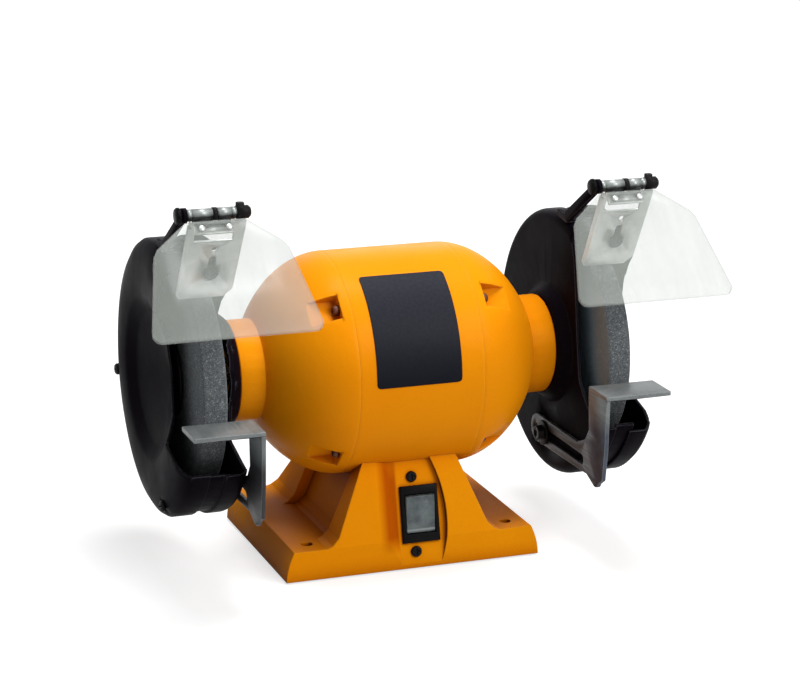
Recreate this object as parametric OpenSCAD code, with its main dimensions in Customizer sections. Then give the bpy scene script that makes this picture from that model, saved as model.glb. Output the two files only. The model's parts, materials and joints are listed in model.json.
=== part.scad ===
// Bench grinder: two wheels on one motor shaft, with guards, eye shields and tool rests.
// Millimetres. +X along the shaft, -Y towards the user, +Z up.
// The origin is on the bench, at the centre of the four bolt holes of the base.

/* [Base] */
// Width of the base at the bench
base_w = 183; // [160:1:210]
// Depth of the base, front to back
base_d = 142; // [130:1:160]
// Height of the flat ledges of the base
plate_h = 22; // [18:1:26]
// How far each end of the base curves in at its top
end_draft = 5.5; // [2:0.5:8]
// Wall of the base casting
base_wall = 4; // [3:0.5:5]
// Gap between the rim of the casting and the bench
rim_gap = 1.2; // [0.8:0.1:2]
// Bolt hole spacing along the shaft
bolt_dx = 145; // [130:1:154]
// Bolt hole spacing front to back
bolt_dy = 112; // [100:1:114]
// Diameter of the bolt holes
bolt_d = 8; // [6:0.5:9]
// Outer diameter of a rubber foot
foot_d = 20; // [16:1:20]
// Width of the pedestal walls at the ledges
ped_w = 113; // [104:1:120]
// Width of the pedestal walls under the motor
ped_top_w = 71; // [64:1:80]
// Height at which the pedestal is as wide as that
ped_top_h = 72; // [68:1:76]
// Thickness of the front and back walls of the pedestal
ped_wall = 12; // [9:1:15]
// How much narrower than its walls the pedestal is between them
ped_waist = 16; // [8:1:24]
// Lean of the front wall, in degrees
front_lean = 13; // [8:1:18]
// Lean of the back wall, in degrees
back_lean = 31; // [24:1:34]

/* [Switch] */
// Depth of the recess for the switch
recess_depth = 4; // [2:0.5:5]
// Gap between the bezel and the bulging right side of the recess
recess_margin = 5; // [3:0.5:7]
// How far the recess slopes out to the left of its flat panel
recess_slope = 14; // [10:1:18]
// Width of the switch bezel
bezel_w = 27.2; // [26:0.2:30]
// Gap along the panel between the bezel and the axis of a panel screw
bezel_gap = 6.2; // [5.8:0.1:8]
// How far the bezel stands out of the panel
bezel_t = 2.5; // [1.5:0.5:4]
// Offset of the switch towards the right
switch_x = 6; // [2:0.5:7]
// Offset of the panel screws towards the right
panel_screw_x = 1.8; // [0:0.2:4]
// Height of the lower panel screw above the bench
panel_screw_low = 13.4; // [12:0.2:16]
// How far the upper panel screw lies below the motor body's edge
panel_screw_under = 12.8; // [10:0.2:16]
// Width of the bezel's frame at the sides of the rocker
frame_w = 3.2; // [2.8:0.1:4]
// Height of the bezel's frame above and below the rocker
frame_h = 6.2; // [5:0.2:8]
// Angle of the rocker to the panel when off, in degrees
rocker_angle = 8; // [5:1:10]

/* [Motor] */
// Height of the shaft axis above the bench
shaft_h = 135; // [132:1:145]
// How far the shaft lies in front of the bolt pattern's centre
shaft_ahead = 9.5; // [4:0.5:12]
// Outer radius of the motor body
body_r = 76.6; // [74:0.2:79]
// Wall of the motor body
body_wall = 4; // [3:0.5:5]
// Distance from the middle to where the shoulders start
shoulder_x = 42; // [38:1:46]
// Length of a shoulder, to its pole
shoulder_l = 63; // [60:1:68]
// Fullness of the shoulders, 2 is an ellipse
shoulder_n = 1.85; // [1.7:0.05:2.2]
// Distance from the middle to the joint of body and end bell
seam_x = 44; // [42:1:46]
// Outer radius of the bearing necks
neck_r = 34.5; // [33:0.5:36]
// Distance from the middle to the end of a neck
neck_x = 114.3; // [112:0.1:116]
// Wall of the end face of a neck
neck_end = 4; // [3:0.5:5]
// Outer radius of the stator core
stator_r = 58; // [55:1:60]
// Length of the stator core
stator_l = 56; // [46:1:60]
// Outer radius of the rotor core
rotor_r = 29.5; // [27:0.5:31]
// Air gap between rotor and stator
air_gap = 0.5; // [0.3:0.1:0.8]
// Winding slots in the stator
slots = 12; // [8:1:16]
// Radius of a winding slot
slot_r = 5.2; // [4:0.2:5.6]
// Width of a rib that holds the stator
rib_w = 13; // [12:1:16]
// Radius of the circle of the case screws
case_screw_circle = 69.5; // [69:0.1:69.7]
// Thread diameter of the case screws
case_screw_d = 4; // [3:0.5:4]
// Width of a screw pocket in a shoulder
pocket_w = 18; // [14:1:20]

/* [Shaft and bearings] */
// Diameter of the shaft in the rotor
shaft_d = 17; // [16:0.5:20]
// Diameter of the bearing journals
journal_d = 15; // [14:0.5:16]
// Diameter of the ends that carry the wheels
arbor_d = 12.7; // [12:0.1:13]
// Outer diameter of a ball bearing
bearing_d = 35; // [32:1:37]
// Width of a ball bearing
bearing_w = 11; // [9:0.5:12]
// Balls in a bearing
balls = 8; // [6:1:9]
// Diameter of a ball
ball_d = 6; // [5:0.5:6]

/* [Wheels] */
// Diameter of a grinding wheel
wheel_d = 152.4; // [140:0.1:154]
// Thickness of a grinding wheel
wheel_t = 16; // [13:0.5:20]
// Distance from the middle to a wheel's mid-plane
wheel_x = 143.2; // [142:0.1:146]
// Diameter of the wheel flanges
flange_d = 52; // [44:1:60]
// Thickness of the wheel flanges
flange_t = 4.5; // [3.5:0.5:4.5]
// Thickness of a paper washer
paper_t = 0.5; // [0.3:0.1:1]
// Width across the flats of an arbor nut
nut_af = 19; // [18:1:22]
// Thickness of an arbor nut
nut_t = 5; // [4:0.5:6]

/* [Guards] */
// Outer radius of a wheel guard
guard_r = 94; // [92:0.5:98]
// Sheet thickness of the guards
guard_t = 2; // [1.5:0.1:2.4]
// Distance from the middle to the inner cheek
cheek_x = 122.5; // [121:0.1:124]
// Rounding between cheek and drum
cheek_round = 7; // [4:1:9]
// Distance from the middle to the outer edge of the drum
drum_x = 152; // [151:0.5:154]
// Length of the cover's straight rim
cover_rim = 9.5; // [8:0.5:10]
// How far the cover bulges past its rim
cover_bulge = 8.5; // [8:0.5:10]
// Radius of the recess in the middle of the cover
dish_r = 52; // [44:1:58]
// Depth of that recess
dish_depth = 6; // [3:0.5:6]
// Width of the drum's step that the cover slides over
step_w = 13; // [8:0.5:14]

/* [Tool rests] */
// Thickness of the tool rest steel
rest_t = 3; // [2.5:0.1:3]
// Height of the rest's face below the shaft axis
rest_drop = 11; // [6:1:16]
// Depth of the rest's face, front to back
rest_d = 29.5; // [24:0.5:36]
// Gap between the rest and the wheel
rest_gap = 2.8; // [2:0.1:4]
// Distance from the middle to the outer end of the rest's face
rest_end_x = 167; // [162:1:180]
// Height of the rest's arm
arm_h = 22; // [20:1:26]
// Height of the arm's middle below the shaft axis
arm_drop = 66; // [62:1:70]
// Length of the slot in the arm
slot_l = 78; // [60:1:84]
// Thread diameter of the clamp bolt
clamp_d = 6; // [5:0.5:8]
// How far in front of the shaft axis the clamp bolt lies
clamp_ahead = 3; // [0:0.5:6]

/* [Eye shields] */
// How far in front of the shaft axis the hinge rod lies
hinge_ahead = 72; // [68:1:76]
// Height of the hinge rod above the shaft axis
hinge_up = 126; // [122:1:130]
// Diameter of the hinge rod
rod_d = 5; // [4:0.5:6]
// Outer radius of the rolled barrels on the rod
barrel_r = 3.9; // [3.6:0.1:4.6]
// Length of the shield, from the rod down
shield_l = 88; // [70:1:96]
// Thickness of the shield
shield_t = 2.5; // [2:0.1:4]
// Width of the shield at its top
shield_top_w = 40; // [36:1:52]
// Width of the shield at its shoulders
shield_mid_w = 89; // [70:1:96]
// Width of the shield at its bottom edge
shield_low_w = 111; // [90:1:120]
// Distance from the rod to the shoulders of the shield
shield_mid_l = 26; // [20:1:34]
// Forward tilt of the shield from straight down, in degrees
shield_tilt = 41; // [34:1:50]
// Backward tilt of the deflector plate from straight down, in degrees
plate_tilt = 22; // [20:1:24]
// Length of the deflector plate, from the rod down
plate_l = 65; // [62:0.5:66]
// Thickness of the deflector plate
plate_t = 2; // [1.5:0.1:2.2]
// Diameter of the clamp knob
knob_d = 11; // [9:0.5:14]

/* [Name plate] */
// Width of the bare name plate
label_w = 60; // [40:1:66]
// Angle of the name plate round the body, in degrees
label_angle = 61; // [40:1:66]
// Angle of its middle above the front, in degrees
label_up = 31; // [24:1:34]
// Offset of its middle from the middle of the body
label_x = -2.8; // [-6:0.2:6]

/* [Cord inlet] */
// Diameter of the hole for the supply lead
inlet_d = 8; // [6:0.5:10]
// Outer diameter of the inlet's grommet
grommet_d = 18; // [16:1:20]

/* [Hidden] */

$fn = 96;

// Clearance of a pin or shaft in its hole, on the radius
fit = 0.05;
// Clearance between pieces that must not rub
gap = 0.3;
// Extra length of a cut past the face it cuts
cut = 1;
// Facets of small round pieces
small_fn = 32;

LEFT = -1;
RIGHT = 1;
SIDES = [LEFT, RIGHT];

// Where the parts lie along the shaft, from the middle outwards
wheel_in = wheel_x - wheel_t/2;
wheel_out = wheel_x + wheel_t/2;
inner_flange_out = wheel_in - paper_t;
inner_flange_in = inner_flange_out - flange_t;
outer_flange_in = wheel_out + paper_t;
outer_flange_out = outer_flange_in + flange_t;
nut_out = outer_flange_out + nut_t;
shaft_end = nut_out + 0.4;
bearing_out = neck_x - neck_end;
bearing_in = bearing_out - bearing_w;
cover_x = drum_x + cover_rim + cover_bulge;
washer_t = 1;

// Corners of a circular arc from one angle to the other
function arc(cx, cy, r, a0, a1, n = 8) =
    [for (i = [0:n]) [cx + r*cos(a0 + (a1 - a0)*i/n), cy + r*sin(a0 + (a1 - a0)*i/n)]];

// Radius of the motor body at a distance from its middle, less a wall
function body_at(x, wall = 0) =
    let (t = max(0, (x - shoulder_x)/(shoulder_l - wall)))
    t >= 1 ? 0 : (body_r - wall)*pow(1 - pow(t, shoulder_n), 1/shoulder_n);

// Distance from the middle at which the body has a radius, less a wall
function body_x(r, wall = 0) =
    shoulder_x + (shoulder_l - wall)*pow(1 - pow(r/(body_r - wall), shoulder_n), 1/shoulder_n);

// Puts a profile of [distance along the shaft, radius] round the X axis
module turned(profile, fn = $fn) {
    rotate([0, 90, 0])
        rotate_extrude($fn = fn)
            polygon([for (p = profile) [p[1], p[0]]]);
}

// A rod along X from x0 to x1
module rod_x(x0, x1, r, fn = $fn) {
    translate([x0, 0, 0])
        rotate([0, 90, 0])
            cylinder(h = x1 - x0, r = r, $fn = fn);
}

// A ring along X
module ring_x(x0, x1, r_in, r_out, fn = $fn) {
    turned([[x0, r_in], [x1, r_in], [x1, r_out], [x0, r_out]], fn);
}

// A plate whose outline is in Y and Z and whose thickness runs from x0 to x1
module plate_x(x0, x1) {
    translate([x0, 0, 0])
        rotate([90, 0, 90])
            linear_extrude(x1 - x0)
                children();
}

// Moves its children onto the shaft axis
module at_shaft() {
    translate([0, -shaft_ahead, shaft_h])
        children();
}

// Draws its children, made for the right, on the given side
module on_side(side) {
    mirror([side == LEFT ? 1 : 0, 0, 0])
        children();
}

// A round slot between two points
module slot_2d(a, b, r) {
    d = b - a;
    translate(a)
        circle(r = r, $fn = small_fn);
    translate(b)
        circle(r = r, $fn = small_fn);
    translate(a)
        rotate(atan2(d[1], d[0]))
            translate([0, -r])
                square([norm(d), 2*r]);
}

// ---------------------------------------------------------------- base

front_y = -base_d/2;
back_y = base_d/2;
rise = ped_top_h - plate_h;
saddle_angle = 40;
saddle_top = shaft_h - body_r*cos(saddle_angle);

// The switch fills the panel between its two screws
panel_screw_dy = (saddle_top - panel_screw_under - panel_screw_low)/cos(front_lean);
switch_h = (saddle_top - panel_screw_under + panel_screw_low)/2;
bezel_h = panel_screw_dy - 2*bezel_gap;
rocker_w = bezel_w - 2*frame_w;
rocker_h = bezel_h - 2*frame_h;

// Side outline of base and pedestal, moved in by a wall
module base_side_2d(wall = 0) {
    lean_f = tan(front_lean);
    lean_b = tan(back_lean);
    top = saddle_top - wall;
    polygon([[front_y + wall, 0], [front_y + wall, plate_h],
        [front_y + wall + lean_f*(top - plate_h), top],
        [back_y - wall - lean_b*(top - plate_h), top],
        [back_y - wall, plate_h], [back_y - wall, 0]]);
}

// End outline of the ledges: straight at the bench, curving in at the top
module ledge_end_2d(wall = 0) {
    steps = 8;
    h = plate_h - wall;
    edge = [for (i = [0:steps]) [base_w/2 - wall - end_draft*pow(i/steps, 2), h*i/steps]];
    polygon(concat(edge, [for (i = [steps:-1:0]) [-edge[i][0], edge[i][1]]]));
}

// Front outline of a pedestal wall
module pedestal_front_2d(inset = 0, below = 1) {
    slope = (ped_w - ped_top_w)/2/rise;
    top_w = ped_top_w/2 - inset - slope*(saddle_top - ped_top_h);
    foot_w = ped_w/2 - inset;
    foot_r = 6;
    side = [[foot_w + foot_r, plate_h], [foot_w + foot_r*0.35, plate_h + foot_r*0.25],
        [foot_w - slope*foot_r, plate_h + foot_r], [top_w, saddle_top]];
    polygon(concat([[foot_w + foot_r, plate_h - below]], side,
        [for (i = [3:-1:0]) [-side[i][0], side[i][1]]], [[-foot_w - foot_r, plate_h - below]]));
}

// Extrudes a front outline from y0 back to y1
module slab_y(y0, y1) {
    translate([0, y1, 0])
        rotate([90, 0, 0])
            linear_extrude(y1 - y0)
                children();
}

// Puts its children on the recessed panel: X right, Y up the panel, Z out of it
module at_panel() {
    y = front_y + tan(front_lean)*(switch_h - plate_h);
    translate([switch_x, y, switch_h])
        rotate([90 - front_lean, 0, 0])
            translate([0, 0, -recess_depth])
                children();
}

module bolt_places() {
    for (x = [-1, 1], y = [-1, 1])
        translate([x*bolt_dx/2, y*bolt_dy/2, 0])
            children();
}

cover_screw_x = ped_w/2 - 6;
cover_screw_y = base_d/2 - base_wall - 7;

module cover_screw_places() {
    for (x = [-1, 1], y = [-1, 1])
        translate([x*cover_screw_x, y*cover_screw_y, 0])
            children();
}

saddle_screw_x = 18;

module saddle_screw_places() {
    for (x = [-1, 1])
        translate([x*saddle_screw_x, -shaft_ahead, 0])
            children();
}

screw_hole_r = 2.1;
cover_boss_r = 5;
cover_t = 1.2;
cover_lift = 2.5;
cover_side = 2;
cover_play = 0.5;
cover_screw_head_r = 3.6;
cover_screw_head_h = 1.8;
inlet_in = 26.5;
inlet_x = inlet_in - ped_w/2;
inlet_z = 12;
saddle_wall = 6;

// Sides of the recess's flat floor, from the middle of the switch
panel_left = bezel_w/2 + 1.5;
panel_right = bezel_w/2 + recess_margin;
bulge_r = 100;
slope_r = (pow(recess_slope, 2) + pow(recess_depth, 2))/2/recess_depth;
slope_turn = 5;

module base_casting() {
    color("orange")
    difference() {
        intersection() {
            plate_x(-base_w/2, base_w/2)
                base_side_2d();
            union() {
                slab_y(front_y, back_y)
                    ledge_end_2d();
                slab_y(front_y, front_y + ped_wall + rise*tan(front_lean))
                    pedestal_front_2d();
                slab_y(back_y - ped_wall - rise*tan(back_lean), back_y)
                    pedestal_front_2d();
                slab_y(front_y, back_y)
                    pedestal_front_2d(ped_waist/2);
            }
        }
        // hollow under the ledges
        difference() {
            translate([0, 0, -cut])
                slab_y(front_y + base_wall, back_y - base_wall)
                    ledge_end_2d(base_wall);
            cover_screw_places()
                translate([0, 0, cover_lift + cover_t])
                    cylinder(h = plate_h, r = cover_boss_r, $fn = small_fn);
        }
        // hollow inside the pedestal
        difference() {
            intersection() {
                plate_x(-base_w/2, base_w/2)
                    base_side_2d(ped_wall);
                slab_y(front_y, back_y)
                    pedestal_front_2d(ped_waist/2 + base_wall, base_wall + 2*cut);
            }
            at_shaft()
                rod_x(-base_w, base_w, body_r + saddle_wall);
        }
        // rim clear of the bench
        translate([-base_w, -base_d, -cut])
            cube([2*base_w, 2*base_d, cut + rim_gap]);
        // seat of the motor body
        at_shaft()
            rod_x(-base_w, base_w, body_r + fit);
        bolt_places()
            translate([0, 0, -cut])
                cylinder(h = plate_h + 2*cut, r = bolt_d/2);
        cover_screw_places()
            cylinder(h = plate_h - base_wall, r = screw_hole_r, $fn = small_fn);
        saddle_screw_places()
            cylinder(h = shaft_h, r = case_screw_d/2 + fit, $fn = small_fn);
        // recess of the switch panel: a flat floor, a bulging right side and a rounded slope on the left
        at_panel()
            linear_extrude(ped_wall)
                intersection() {
                    translate([-panel_left, -base_d/2])
                        square([panel_left + panel_right, base_d]);
                    translate([panel_right - bulge_r, -recess_margin])
                        circle(r = bulge_r);
                }
        at_panel()
            translate([-panel_left, -panel_screw_dy/2, 0])
                rotate(slope_turn)
                    difference() {
                        translate([-recess_slope, -panel_screw_dy, 0])
                            cube([recess_slope + panel_left, 3*panel_screw_dy, ped_wall]);
                        translate([-recess_slope, -panel_screw_dy - cut, recess_depth - slope_r])
                            rotate([-90, 0, 0])
                                cylinder(h = 3*panel_screw_dy + 2*cut, r = slope_r);
                    }
        at_panel()
            translate([0, 0, -ped_wall])
                cube([switch_body_w + 2*gap, switch_body_h + 2*gap, 2*ped_wall], center = true);
        at_panel()
            panel_screw_places()
                translate([0, 0, -ped_wall])
                    cylinder(h = 2*ped_wall, r = screw_hole_r, $fn = small_fn);
        // hole of the supply lead
        translate([inlet_x, back_y + cut, inlet_z])
            rotate([90, 0, 0])
                cylinder(h = base_wall + 2*cut, r = grommet_seat_r + fit);
        translate([inlet_x, back_y - base_wall, inlet_z])
            rotate([90, 0, 0])
                cylinder(h = 2*grommet_lip, r = grommet_d/2 - grommet_edge + fit);
        // hole for the motor leads
        translate([0, wire_hole_y, plate_h])
            cylinder(h = shaft_h, r = wire_hole_r);
    }
}

wire_hole_r = 7;
wire_hole_y = 14;

module base_cover() {
    w = ped_w - 2*cover_side;
    d = base_d - 2*base_wall - 2*cover_play;
    color("dimgray")
    difference() {
        translate([-w/2, -d/2, cover_lift])
            cube([w, d, cover_t]);
        cover_screw_places()
            translate([0, 0, -cut])
                cylinder(h = plate_h, r = screw_hole_r, $fn = small_fn);
    }
}

// A pan-head screw whose head's seat is at the origin and whose shank points to -Z
module pan_screw(shank_r, shank_l, head_r, head_h, slot_w = 1) {
    difference() {
        union() {
            translate([0, 0, -shank_l])
                cylinder(h = shank_l, r = shank_r, $fn = small_fn);
            cylinder(h = head_h*0.6, r = head_r, $fn = small_fn);
            translate([0, 0, head_h*0.6])
                cylinder(h = head_h*0.4, r1 = head_r, r2 = head_r*0.72, $fn = small_fn);
        }
        for (a = [0, 90])
            rotate(a)
                translate([-head_r*0.6, -slot_w/2, head_h*0.45])
                    cube([head_r*1.2, slot_w, head_h]);
    }
}

module base_cover_screws() {
    color("silver")
    cover_screw_places()
        translate([0, 0, cover_lift])
            mirror([0, 0, 1])
                pan_screw(screw_hole_r - fit, plate_h - base_wall - cover_lift - cut, cover_screw_head_r,
                    cover_screw_head_h);
}

foot_step = 1.5;

// The feet stand inside the hollow of the ledges
module rubber_feet() {
    side = base_wall + gap;
    color("black")
    intersection() {
        bolt_places()
            difference() {
                union() {
                    cylinder(h = plate_h - base_wall - cut, r = foot_d/2 - foot_step);
                    cylinder(h = plate_h/3, r = foot_d/2);
                }
                translate([0, 0, -cut])
                    cylinder(h = plate_h, r = bolt_d/2);
            }
        slab_y(front_y + side, back_y - side)
            ledge_end_2d(side);
    }
}

grommet_lip = 2.5;
grommet_seat_r = grommet_d/2 - grommet_lip;
grommet_tail = 12;
grommet_edge = 1;

module cord_grommet() {
    color("black")
    translate([inlet_x, back_y, inlet_z])
        rotate([-90, 0, 0])
            turned_z([[inlet_d/2, -base_wall - grommet_lip],
                [grommet_d/2 - grommet_edge, -base_wall - grommet_lip],
                [grommet_d/2 - grommet_edge, -base_wall], [grommet_seat_r, -base_wall],
                [grommet_seat_r, 0], [grommet_d/2, 0], [grommet_d/2, grommet_edge],
                [grommet_seat_r, grommet_lip + grommet_edge],
                [grommet_seat_r - grommet_edge/2, grommet_tail], [inlet_d/2, grommet_tail]]);
}

// Puts a profile of [radius, height] round the Z axis
module turned_z(profile, fn = $fn) {
    rotate_extrude($fn = fn)
        polygon(profile);
}

// ---------------------------------------------------------------- switch

bezel_lap = 1.2;
bezel_chamfer = 1.2;
// How far the rocker reaches below its pivot, and its face's height over it
rocker_skirt = 5.5;
rocker_crown = 2.2;
switch_body_w = bezel_w - 2*bezel_lap;
switch_body_h = bezel_h - 4*bezel_lap;
switch_body_d = 19;
panel_head_r = 3.7;
panel_head_h = 2.2;

module panel_screw_places() {
    for (s = [-1, 1])
        translate([panel_screw_x - switch_x, s*panel_screw_dy/2, 0])
            children();
}

module switch_bezel() {
    window_w = rocker_w + 2*gap;
    window_h = rocker_h + 2*gap;
    color("black")
    at_panel()
        difference() {
            translate([-bezel_w/2, -bezel_h/2, 0])
                cube([bezel_w, bezel_h, bezel_t]);
            translate([-window_w/2, -window_h/2, -cut])
                cube([window_w, window_h, bezel_t + 2*cut]);
            // sloping edges
            for (s = [-1, 1])
                translate([s*bezel_w/2, 0, bezel_t])
                    rotate([0, s*45, 0])
                        cube([2*bezel_t, 2*bezel_h, bezel_chamfer], center = true);
        }
}

module switch_body() {
    pivot_room = rocker_h/2*sin(2*rocker_angle) + rocker_skirt;
    color("black")
    at_panel()
        difference() {
            translate([-switch_body_w/2, -switch_body_h/2, -switch_body_d])
                cube([switch_body_w, switch_body_h, switch_body_d]);
            translate([-rocker_w/2 - gap, -rocker_h/2 - gap, -pivot_room])
                cube([rocker_w + 2*gap, rocker_h + 2*gap, pivot_room + cut]);
        }
}

// The rocker pivots about X just behind the bezel's face
rocker_pivot = 1;

module switch_rocker() {
    r = rocker_h/2;
    rise_at_end = r*tan(rocker_angle);
    color("gray")
    at_panel()
        translate([0, 0, rocker_pivot])
            rotate([90, 0, 90])
                translate([0, 0, -rocker_w/2])
                    linear_extrude(rocker_w)
                        intersection() {
                            circle(r = r - gap);
                            difference() {
                                translate([-r, -rocker_skirt])
                                    square([2*r, rocker_skirt + 2*rocker_crown]);
                                // the pressed half and the raised half of the face
                                polygon([[-r - cut, rocker_crown - rise_at_end], [0, rocker_crown],
                                    [r + cut, rocker_crown + rise_at_end], [r + cut, r + cut],
                                    [-r - cut, r + cut]]);
                            }
                        }
}

module switch_screws() {
    color("black")
    at_panel()
        panel_screw_places()
            pan_screw(screw_hole_r - fit, ped_wall*0.7, panel_head_r, panel_head_h);
}

cap_r = 17;
cap_l = 60;
cap_z = cover_lift + cover_t + cap_r + gap;

module run_capacitor() {
    cap_y = 30;
    color("lightgray")
    translate([-cap_l/2, cap_y, cap_z])
        turned([[0, 0], [cap_l, 0], [cap_l, cap_r - 1], [cap_l - 1, cap_r], [cap_l - 3, cap_r],
            [cap_l - 4, cap_r - 0.8], [cap_l - 5, cap_r], [1, cap_r], [0, cap_r - 1]]);
}

saddle_head_z = shaft_h - body_r - saddle_wall;
saddle_bite = 3;
saddle_head_r = 4.6;
saddle_head_h = 3.2;
// Width of the cross recess of the larger screws
cross_w = 1.2;

module saddle_screws() {
    color("silver")
    saddle_screw_places()
        translate([0, 0, saddle_head_z])
            mirror([0, 0, 1])
                pan_screw(case_screw_d/2, saddle_wall + body_wall + saddle_bite, saddle_head_r,
                    saddle_head_h, cross_w);
}

// ---------------------------------------------------------------- motor body

function body_profile(x0, x1, wall = 0, n = 20) =
    [for (i = [0:n]) let (x = x0 + (x1 - x0)*i/n) [x, body_at(x, wall)]];

SCREW_ANGLES = [45, 135, 225, 315];

module at_case_screws() {
    for (a = SCREW_ANGLES)
        rotate([a, 0, 0])
            translate([0, case_screw_circle, 0])
                children();
}

saddle_boss_r = 7;

module stator_housing() {
    color("orange")
    at_shaft()
        difference() {
            union() {
                difference() {
                    turned(concat([[-seam_x, 0]],
                        [for (p = body_profile(-seam_x, 0)) [p[0], body_at(-p[0])]],
                        body_profile(0, seam_x), [[seam_x, 0]]));
                    turned(concat([[-seam_x - cut, 0]],
                        [for (p = body_profile(-seam_x - cut, 0)) [p[0], body_at(-p[0], body_wall)]],
                        body_profile(0, seam_x + cut, body_wall), [[seam_x + cut, 0]]));
                }
                // ribs that hold the stator and take the case screws
                for (a = SCREW_ANGLES)
                    rotate([a, 0, 0])
                        translate([-seam_x, stator_r - 2, -rib_w/2])
                            cube([2*seam_x, body_r - stator_r - 1, rib_w]);
                // bosses over the saddle screws
                for (x = [-1, 1])
                    translate([x*saddle_screw_x, 0, -body_r + body_wall/2])
                        cylinder(h = body_r - body_wall/2 - stator_r - 2, r = saddle_boss_r, $fn = small_fn);
            }
            rod_x(-seam_x - cut, seam_x + cut, stator_r + fit);
            at_case_screws()
                rod_x(-seam_x - cut, seam_x + cut, case_screw_d/2 + fit, small_fn);
            for (x = [-1, 1])
                translate([x*saddle_screw_x, 0, -body_r - cut])
                    cylinder(h = body_wall + saddle_bite + 2*cut, r = case_screw_d/2 + fit, $fn = small_fn);
            // hole for the motor leads, over the one in the base
            translate([0, wire_hole_y + shaft_ahead, -body_r - cut])
                cylinder(h = body_wall + 2*cut + 3, r = wire_hole_r);
        }
}

pocket_floor = 66;
pocket_wall = 3;
pocket_in = seam_x + 7;
pocket_out = body_x(pocket_floor) + cut;
boss_r = bearing_d/2 + 5.5;
head_h = 4;

module end_bell(side) {
    neck_in = body_x(neck_r);
    inner_x = body_x(neck_r - body_wall, body_wall);
    hollow_x = bearing_out - 2;
    shaft_hole = journal_d/2 + 2;
    steps = 20;
    color("orange")
    at_shaft()
        on_side(side)
            difference() {
                union() {
                    difference() {
                        turned(concat([[seam_x, 0]], body_profile(seam_x, neck_in),
                            [[neck_x - 1, neck_r], [neck_x, neck_r - 1], [neck_x, 0]]));
                        turned(concat([[seam_x - cut, 0]],
                            body_profile(seam_x - cut, inner_x, body_wall, steps),
                            [[hollow_x, neck_r - body_wall], [hollow_x, 0]]));
                    }
                    // seat of the bearing
                    rod_x(bearing_in - 2, neck_x - neck_end/2, boss_r);
                    // walls of the screw pockets
                    intersection() {
                        turned(concat([[seam_x, 0]], body_profile(seam_x, neck_in), [[neck_in, 0]]));
                        for (a = SCREW_ANGLES)
                            rotate([a, 0, 0])
                                translate([seam_x, pocket_floor - pocket_wall, -pocket_w/2 - pocket_wall])
                                    cube([pocket_out - seam_x + pocket_wall, body_r,
                                        pocket_w + 2*pocket_wall]);
                    }
                }
                rod_x(bearing_in - 2 - cut, bearing_out, bearing_d/2 + fit/2);
                rod_x(bearing_in, neck_x + cut, shaft_hole);
                for (a = SCREW_ANGLES)
                    rotate([a, 0, 0])
                        translate([pocket_in, pocket_floor, -pocket_w/2])
                            cube([shoulder_l, body_r, pocket_w]);
                at_case_screws()
                    rod_x(seam_x - cut, pocket_in + cut, case_screw_d/2 + fit, small_fn);
                guard_screw_places()
                    rod_x(neck_x - guard_screw_l, neck_x + cut, screw_hole_r, small_fn);
            }
}

case_screw_l = 24;
case_head_r = 3.5;

module case_screws() {
    color("dimgray")
    at_shaft()
        for (side = SIDES)
            on_side(side)
                at_case_screws()
                    translate([pocket_in, 0, 0])
                        rotate([0, 90, 0])
                            pan_screw(case_screw_d/2, case_screw_l, case_head_r, head_h, cross_w);
}

label_t = 0.6;

module name_plate() {
    color("midnightblue")
    at_shaft()
        intersection() {
            ring_x(label_x - label_w/2, label_x + label_w/2, body_r + fit/2, body_r + fit/2 + label_t);
            rotate([-label_up, 0, 0])
                plate_x(label_x - label_w/2 - cut, label_x + label_w/2 + cut)
                    polygon([[0, 0], [-2*body_r, 2*body_r*tan(label_angle/2)],
                        [-2*body_r, -2*body_r*tan(label_angle/2)]]);
        }
}

slot_circle = 42;
slot_mouth = 2.4;

module stator_core() {
    color("slategray")
    at_shaft()
        difference() {
            ring_x(-stator_l/2, stator_l/2, rotor_r + air_gap, stator_r);
            for (i = [0:slots - 1])
                rotate([i*360/slots, 0, 0]) {
                    translate([0, slot_circle, 0])
                        rod_x(-stator_l, stator_l, slot_r, small_fn);
                    translate([-stator_l, rotor_r - cut, -slot_mouth/2])
                        cube([2*stator_l, slot_circle - rotor_r, slot_mouth]);
                }
        }
}

bundle_r = 9;
bundle_out = 7;
bundle_foot = sqrt(pow(bundle_r, 2) - pow(bundle_out, 2)) + 1.3;

module stator_windings() {
    color("chocolate")
    at_shaft() {
        for (side = SIDES)
            on_side(side)
                turned(concat([[stator_l/2, slot_circle - bundle_foot]],
                    arc(stator_l/2 + bundle_out, slot_circle, bundle_r, -60, 60, 16),
                    [[stator_l/2, slot_circle + bundle_foot]]));
        for (i = [0:slots - 1])
            rotate([i*360/slots, 0, 0])
                translate([0, slot_circle, 0])
                    rod_x(-stator_l/2, stator_l/2, slot_r - gap, small_fn);
    }
}

// ---------------------------------------------------------------- bearings

pitch_r = (journal_d + bearing_d)/4;
race = ball_d/2 - 0.9;
track_r = ball_d/2 + fit;

module track() {
    rotate([0, 90, 0])
        rotate_extrude()
            translate([pitch_r, 0])
                circle(r = track_r, $fn = small_fn);
}

module outer_ring(side) {
    x = (bearing_in + bearing_out)/2;
    color("silver")
    at_shaft()
        on_side(side)
            translate([x, 0, 0])
                difference() {
                    ring_x(-bearing_w/2, bearing_w/2, pitch_r + race, bearing_d/2);
                    track();
                }
}

module inner_ring(side) {
    x = (bearing_in + bearing_out)/2;
    color("silver")
    at_shaft()
        on_side(side)
            translate([x, 0, 0])
                difference() {
                    ring_x(-bearing_w/2, bearing_w/2, journal_d/2 + fit/2, pitch_r - race);
                    track();
                }
}

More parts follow.
